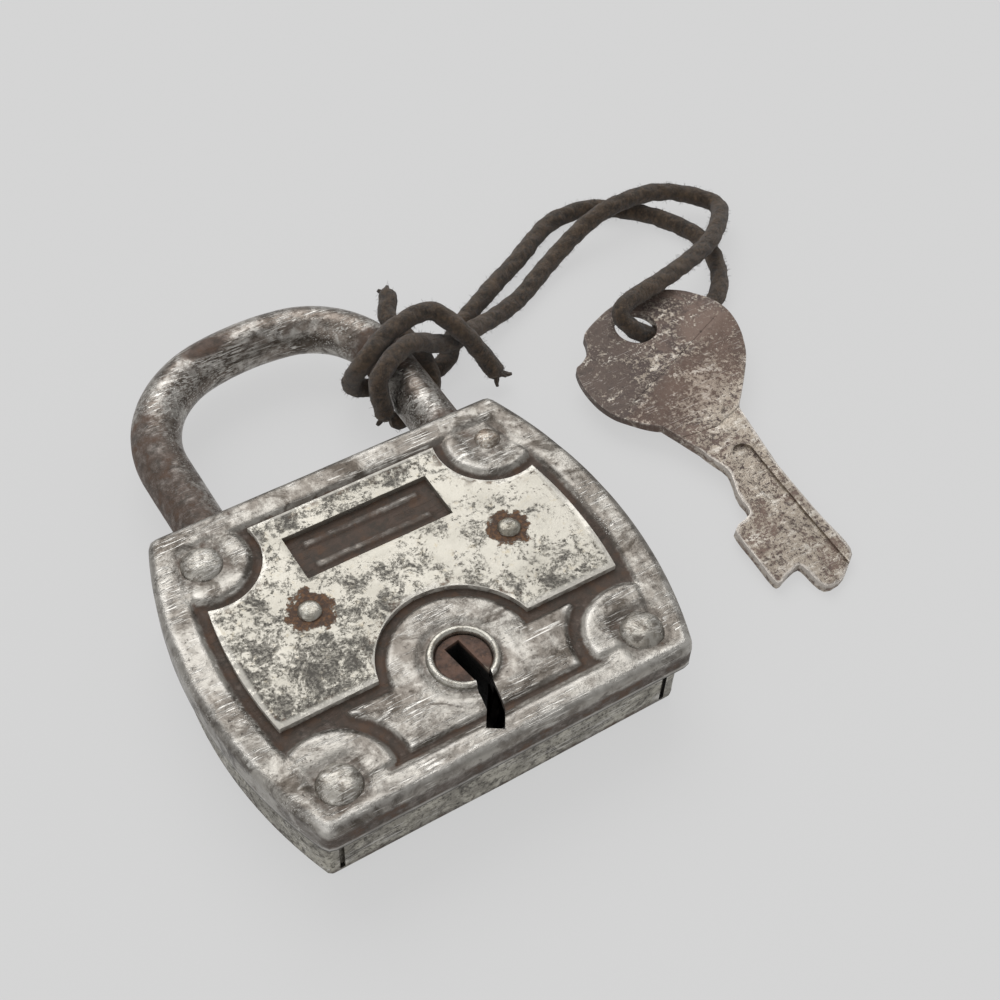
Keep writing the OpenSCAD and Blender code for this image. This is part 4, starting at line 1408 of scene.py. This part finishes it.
KEY_AT = Vector((59.7, -21.4, 0))
KEY_LEAN = 3.6  # degrees: the bow rests on the cord
KEY_T = 1.6
bow_edge = [
    (55.2, 10.6), (53.5, 14.3), (50.9, 15.9), (48.5, 18.9), (47.2, 20.6), (46.3, 23.5),
    (46.1, 26.6), (46.5, 29.4), (47.2, 31.5), (48.4, 31.6), (49.6, 32.2), (50.8, 33.4), (51.6, 35),
    (51.9, 36.3), (53, 37.1), (55.7, 38.3), (59.4, 39.6), (64.4, 40.1), (68.4, 39.2),
    (71.6, 37.5), (73.7, 35.4), (75.3, 33.3), (76.2, 30.9), (76.2, 27.9), (75.2, 24.5),
    (73.3, 20.8), (70.9, 18),
    (67.4, 14.3), (65.4, 12.4), (65.2, 11),
]
blade_edge = [
    (64, 5.8), (63.7, -1.8), (63.6, -11.1), (64, -15.8), (63.7, -18.2), (62, -19.5),
    (59.6, -21.2), (56.6, -21.4), (55.8, -19.9), (55.6, -16.8), (55.2, -16), (52.7, -16.6),
    (50.6, -17.4), (50.2, -16.5), (50.4, -12.3), (50.4, -7.9), (50.8, -6.1), (54.1, -5.5),
    (54.9, -4.6), (54.8, -1.8), (56.2, 1.6), (56.5, 3.3), (55.5, 6.1), (54.9, 8.8),
]


def segment_distance(p, a, b):
    way = b - a
    share = min(1.0, max(0.0, (p - a).dot(way) / max(way.length_squared, 1e-9)))
    return (p - a - way * share).length


def rounded_loop(points, rounds):
    """A closed outline with its corners softened, a quarter of the way along its sides."""
    for _ in range(rounds):
        soft = []
        for a, b in zip(points, points[1:] + points[:1]):
            soft += [a.lerp(b, 0.25), a.lerp(b, 0.75)]
        points = soft
    return points


def on_key(x, y):
    """A point of the finished key's face, in the key's own flat frame."""
    return Vector((x - KEY_AT.x, (y - KEY_AT.y) / math.cos(math.radians(KEY_LEAN)), 0))


bow_smooth = rounded_loop([on_key(*p) for p in bow_edge], 2)[4:-6]
key_loop = bow_smooth + rounded_loop([on_key(*p) for p in blade_edge], 1)[1:-2]
key = loose(slab(key_loop, 0, KEY_T), "flat_key")
KEY_HOLE_R = 3.5
GROOVE_HALF, GROOVE_DEPTH, GROOVE_END = 1.75, 0.5, (60.6, 4.6)


def groove_tool(points, half, depth):
    """A cutter for a groove of that depth in the key's upper face, along a line."""
    line = [on_key(*p).xy for p in points]
    return loose(slab(strip(line, half), KEY_T - depth, KEY_T + 2))


carve(key, [
    drum(on_key(60.6, 34), KEY_HOLE_R, -1, 4, 48),
    groove_tool([(60.3, -24), (60.3, -12), (60.4, 0), GROOVE_END], GROOVE_HALF, GROOVE_DEPTH),
    drum(on_key(*GROOVE_END), GROOVE_HALF, KEY_T - GROOVE_DEPTH, KEY_T + 2, 32),
    groove_tool([(49.6, 20.2), (62, 24.9), (73.6, 29.6)], 0.2, 0.06),
    groove_tool([(53.9, 11.4), (60, 10.6), (66.2, 12.4)], 0.25, 0.07),
])
rounded(crumpled(key, 0.7, 0.0, 3.0), 0.24, 3, 50)
key_bm = bmesh.new()
key_bm.from_mesh(key.data)
batter(key_bm, 0.05, 2.2, 8)
for v in key_bm.verts:
    # The bow's rim is worn thin along its lower left side
    thin = ease(-(v.co.x + 6.2) - (v.co.y - 40) * 0.1, 2.0, 5.5) * ease(v.co.y, 34, 40)
    v.co.z -= 0.4 * thin * (v.co.z > KEY_T / 2)
key_bm.to_mesh(key.data)
key_bm.free()


def key_band(v):
    """The browner band across the bow, below its engraved line."""
    co = v.co
    line = 38.5 + (co.x + 10) * 0.39
    below = line + 3.0 - co.y
    return 0.85 * ease(below, 0.2, 1.2) * (1 - ease(below, 8.5, 11)) * ease(co.y, 33, 36)


def key_bare(v):
    """More silver in the middle of the bow, below the band, and towards the blade."""
    return 1 - ease(math.hypot(v.co.x - 5, v.co.y - 37), 3, 11)


def key_shade(v):
    """The bow's upper left side stayed dark."""
    return ease(v.co.y * 0.35 - v.co.x, 14, 24)


def key_blade(v):
    """The blade's skin is thinner than the bow's."""
    return 1 - ease(v.co.y, 26, 38)


key_sides = [(a.xy, b.xy) for a, b in zip(key_loop, key_loop[1:] + key_loop[:1])]


def key_edge(v):
    """Rubbed bright along the outline, more so on its right and lower sides."""
    away = min(segment_distance(v.co.xy, a, b) for a, b in key_sides)
    lower = 0.55 + 0.45 * ease(-(v.co.y - 36) + v.co.x * 0.4, 0, 10)
    return 0.85 * lower * (1 - ease(away, 0.15, 0.8)) * (0.25 + 0.75 * ease(v.co.z, 0.4, 1.3))


dress(key, key_patina("browned_key"), "shackle", ("key",), spread=None,
      paint={"rust": key_band, "blade": key_blade, "edge": key_edge, "bare": key_bare,
             "shade": key_shade})
lean = Matrix.Rotation(math.radians(KEY_LEAN), 4, "X")
key.data.transform(Matrix.Translation(KEY_AT * MM) @ lean)

# ---- Pieces inside the case ----

inner_steel = brown_oxide("dull_inner_steel", "#6b645c", "#4b4540", "#2c2825", size=3.0)
spring_steel = brown_oxide("blued_spring_steel", "#7b7b7c", "#565559", "#3b3a3d", size=4.0)
for node in (
    "plug_bearing", "ward_ring", "bolt", "bolt_pin_left", "bolt_pin_right", "bolt_spring",
    "heel_collar_back", "heel_collar_front", "spacer_bottom_left", "spacer_bottom_right",
):
    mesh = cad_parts[node].data
    mesh.materials.clear()
    mesh.materials.append(spring_steel if node == "bolt_spring" else inner_steel)

# ---- Floor, backdrop and light ----

BACKDROP = "#d7d7d7"
floor_bm = bmesh.new()
bmesh.ops.create_grid(floor_bm, x_segments=2, y_segments=2, size=3)
bmesh.ops.translate(floor_bm, verts=floor_bm.verts, vec=(0, 0, -0.0001))
floor_mesh = bpy.data.meshes.new("floor")
floor_bm.to_mesh(floor_mesh)
floor_bm.free()
floor = bpy.data.objects.new("floor", floor_mesh)
bpy.context.scene.collection.objects.link(floor)


def pale_paper():
    """Seamless studio paper: matt, and shown to the camera at nearly its own even tone."""
    f = Finish("pale_paper", 0.0, 1.0)
    f.into("Base Color", BACKDROP)
    f.into("Specular IOR Level", 0.0)
    glow = f.node("Emission", BACKDROP, 1.0)
    seen = None
    for ray in ("Is Camera Ray", "Is Glossy Ray", "Is Transmission Ray"):
        kind = f.node("LightPath", out=ray)
        seen = kind if seen is None else f.node("Math", seen, kind, operation="MAXIMUM")
    shown = f.node("Math", seen, 0.8, operation="MULTIPLY")
    blend = f.node("MixShader", shown, f.shader.outputs["BSDF"], glow)
    f.tree.links.new(blend, f.tree.nodes["Material Output"].inputs["Surface"])
    return f.material


paper = pale_paper()
floor_mesh.materials.append(paper)

world = bpy.data.worlds.new("studio")
bpy.context.scene.world = world
world.use_nodes = True
world.node_tree.nodes["Background"].inputs["Color"].default_value = colour("#e4e4e4")
world.node_tree.nodes["Background"].inputs["Strength"].default_value = 0.6


def soft_sun(name, source, strength, spread):
    """A broad soft light from a direction, even over the whole floor."""
    lamp = bpy.data.lights.new(name, "SUN")
    lamp.energy = strength
    lamp.angle = math.radians(spread)
    made = bpy.data.objects.new(name, lamp)
    made.rotation_euler = Vector(source).to_track_quat("Z", "Y").to_euler()
    bpy.context.scene.collection.objects.link(made)


soft_sun("key_light", (0.14, 0.64, 0.77), 1.3, 50)
soft_sun("fill_light", (-0.78, -0.32, 0.62), 0.55, 64)

bpy.context.scene.view_settings.view_transform = "Standard"
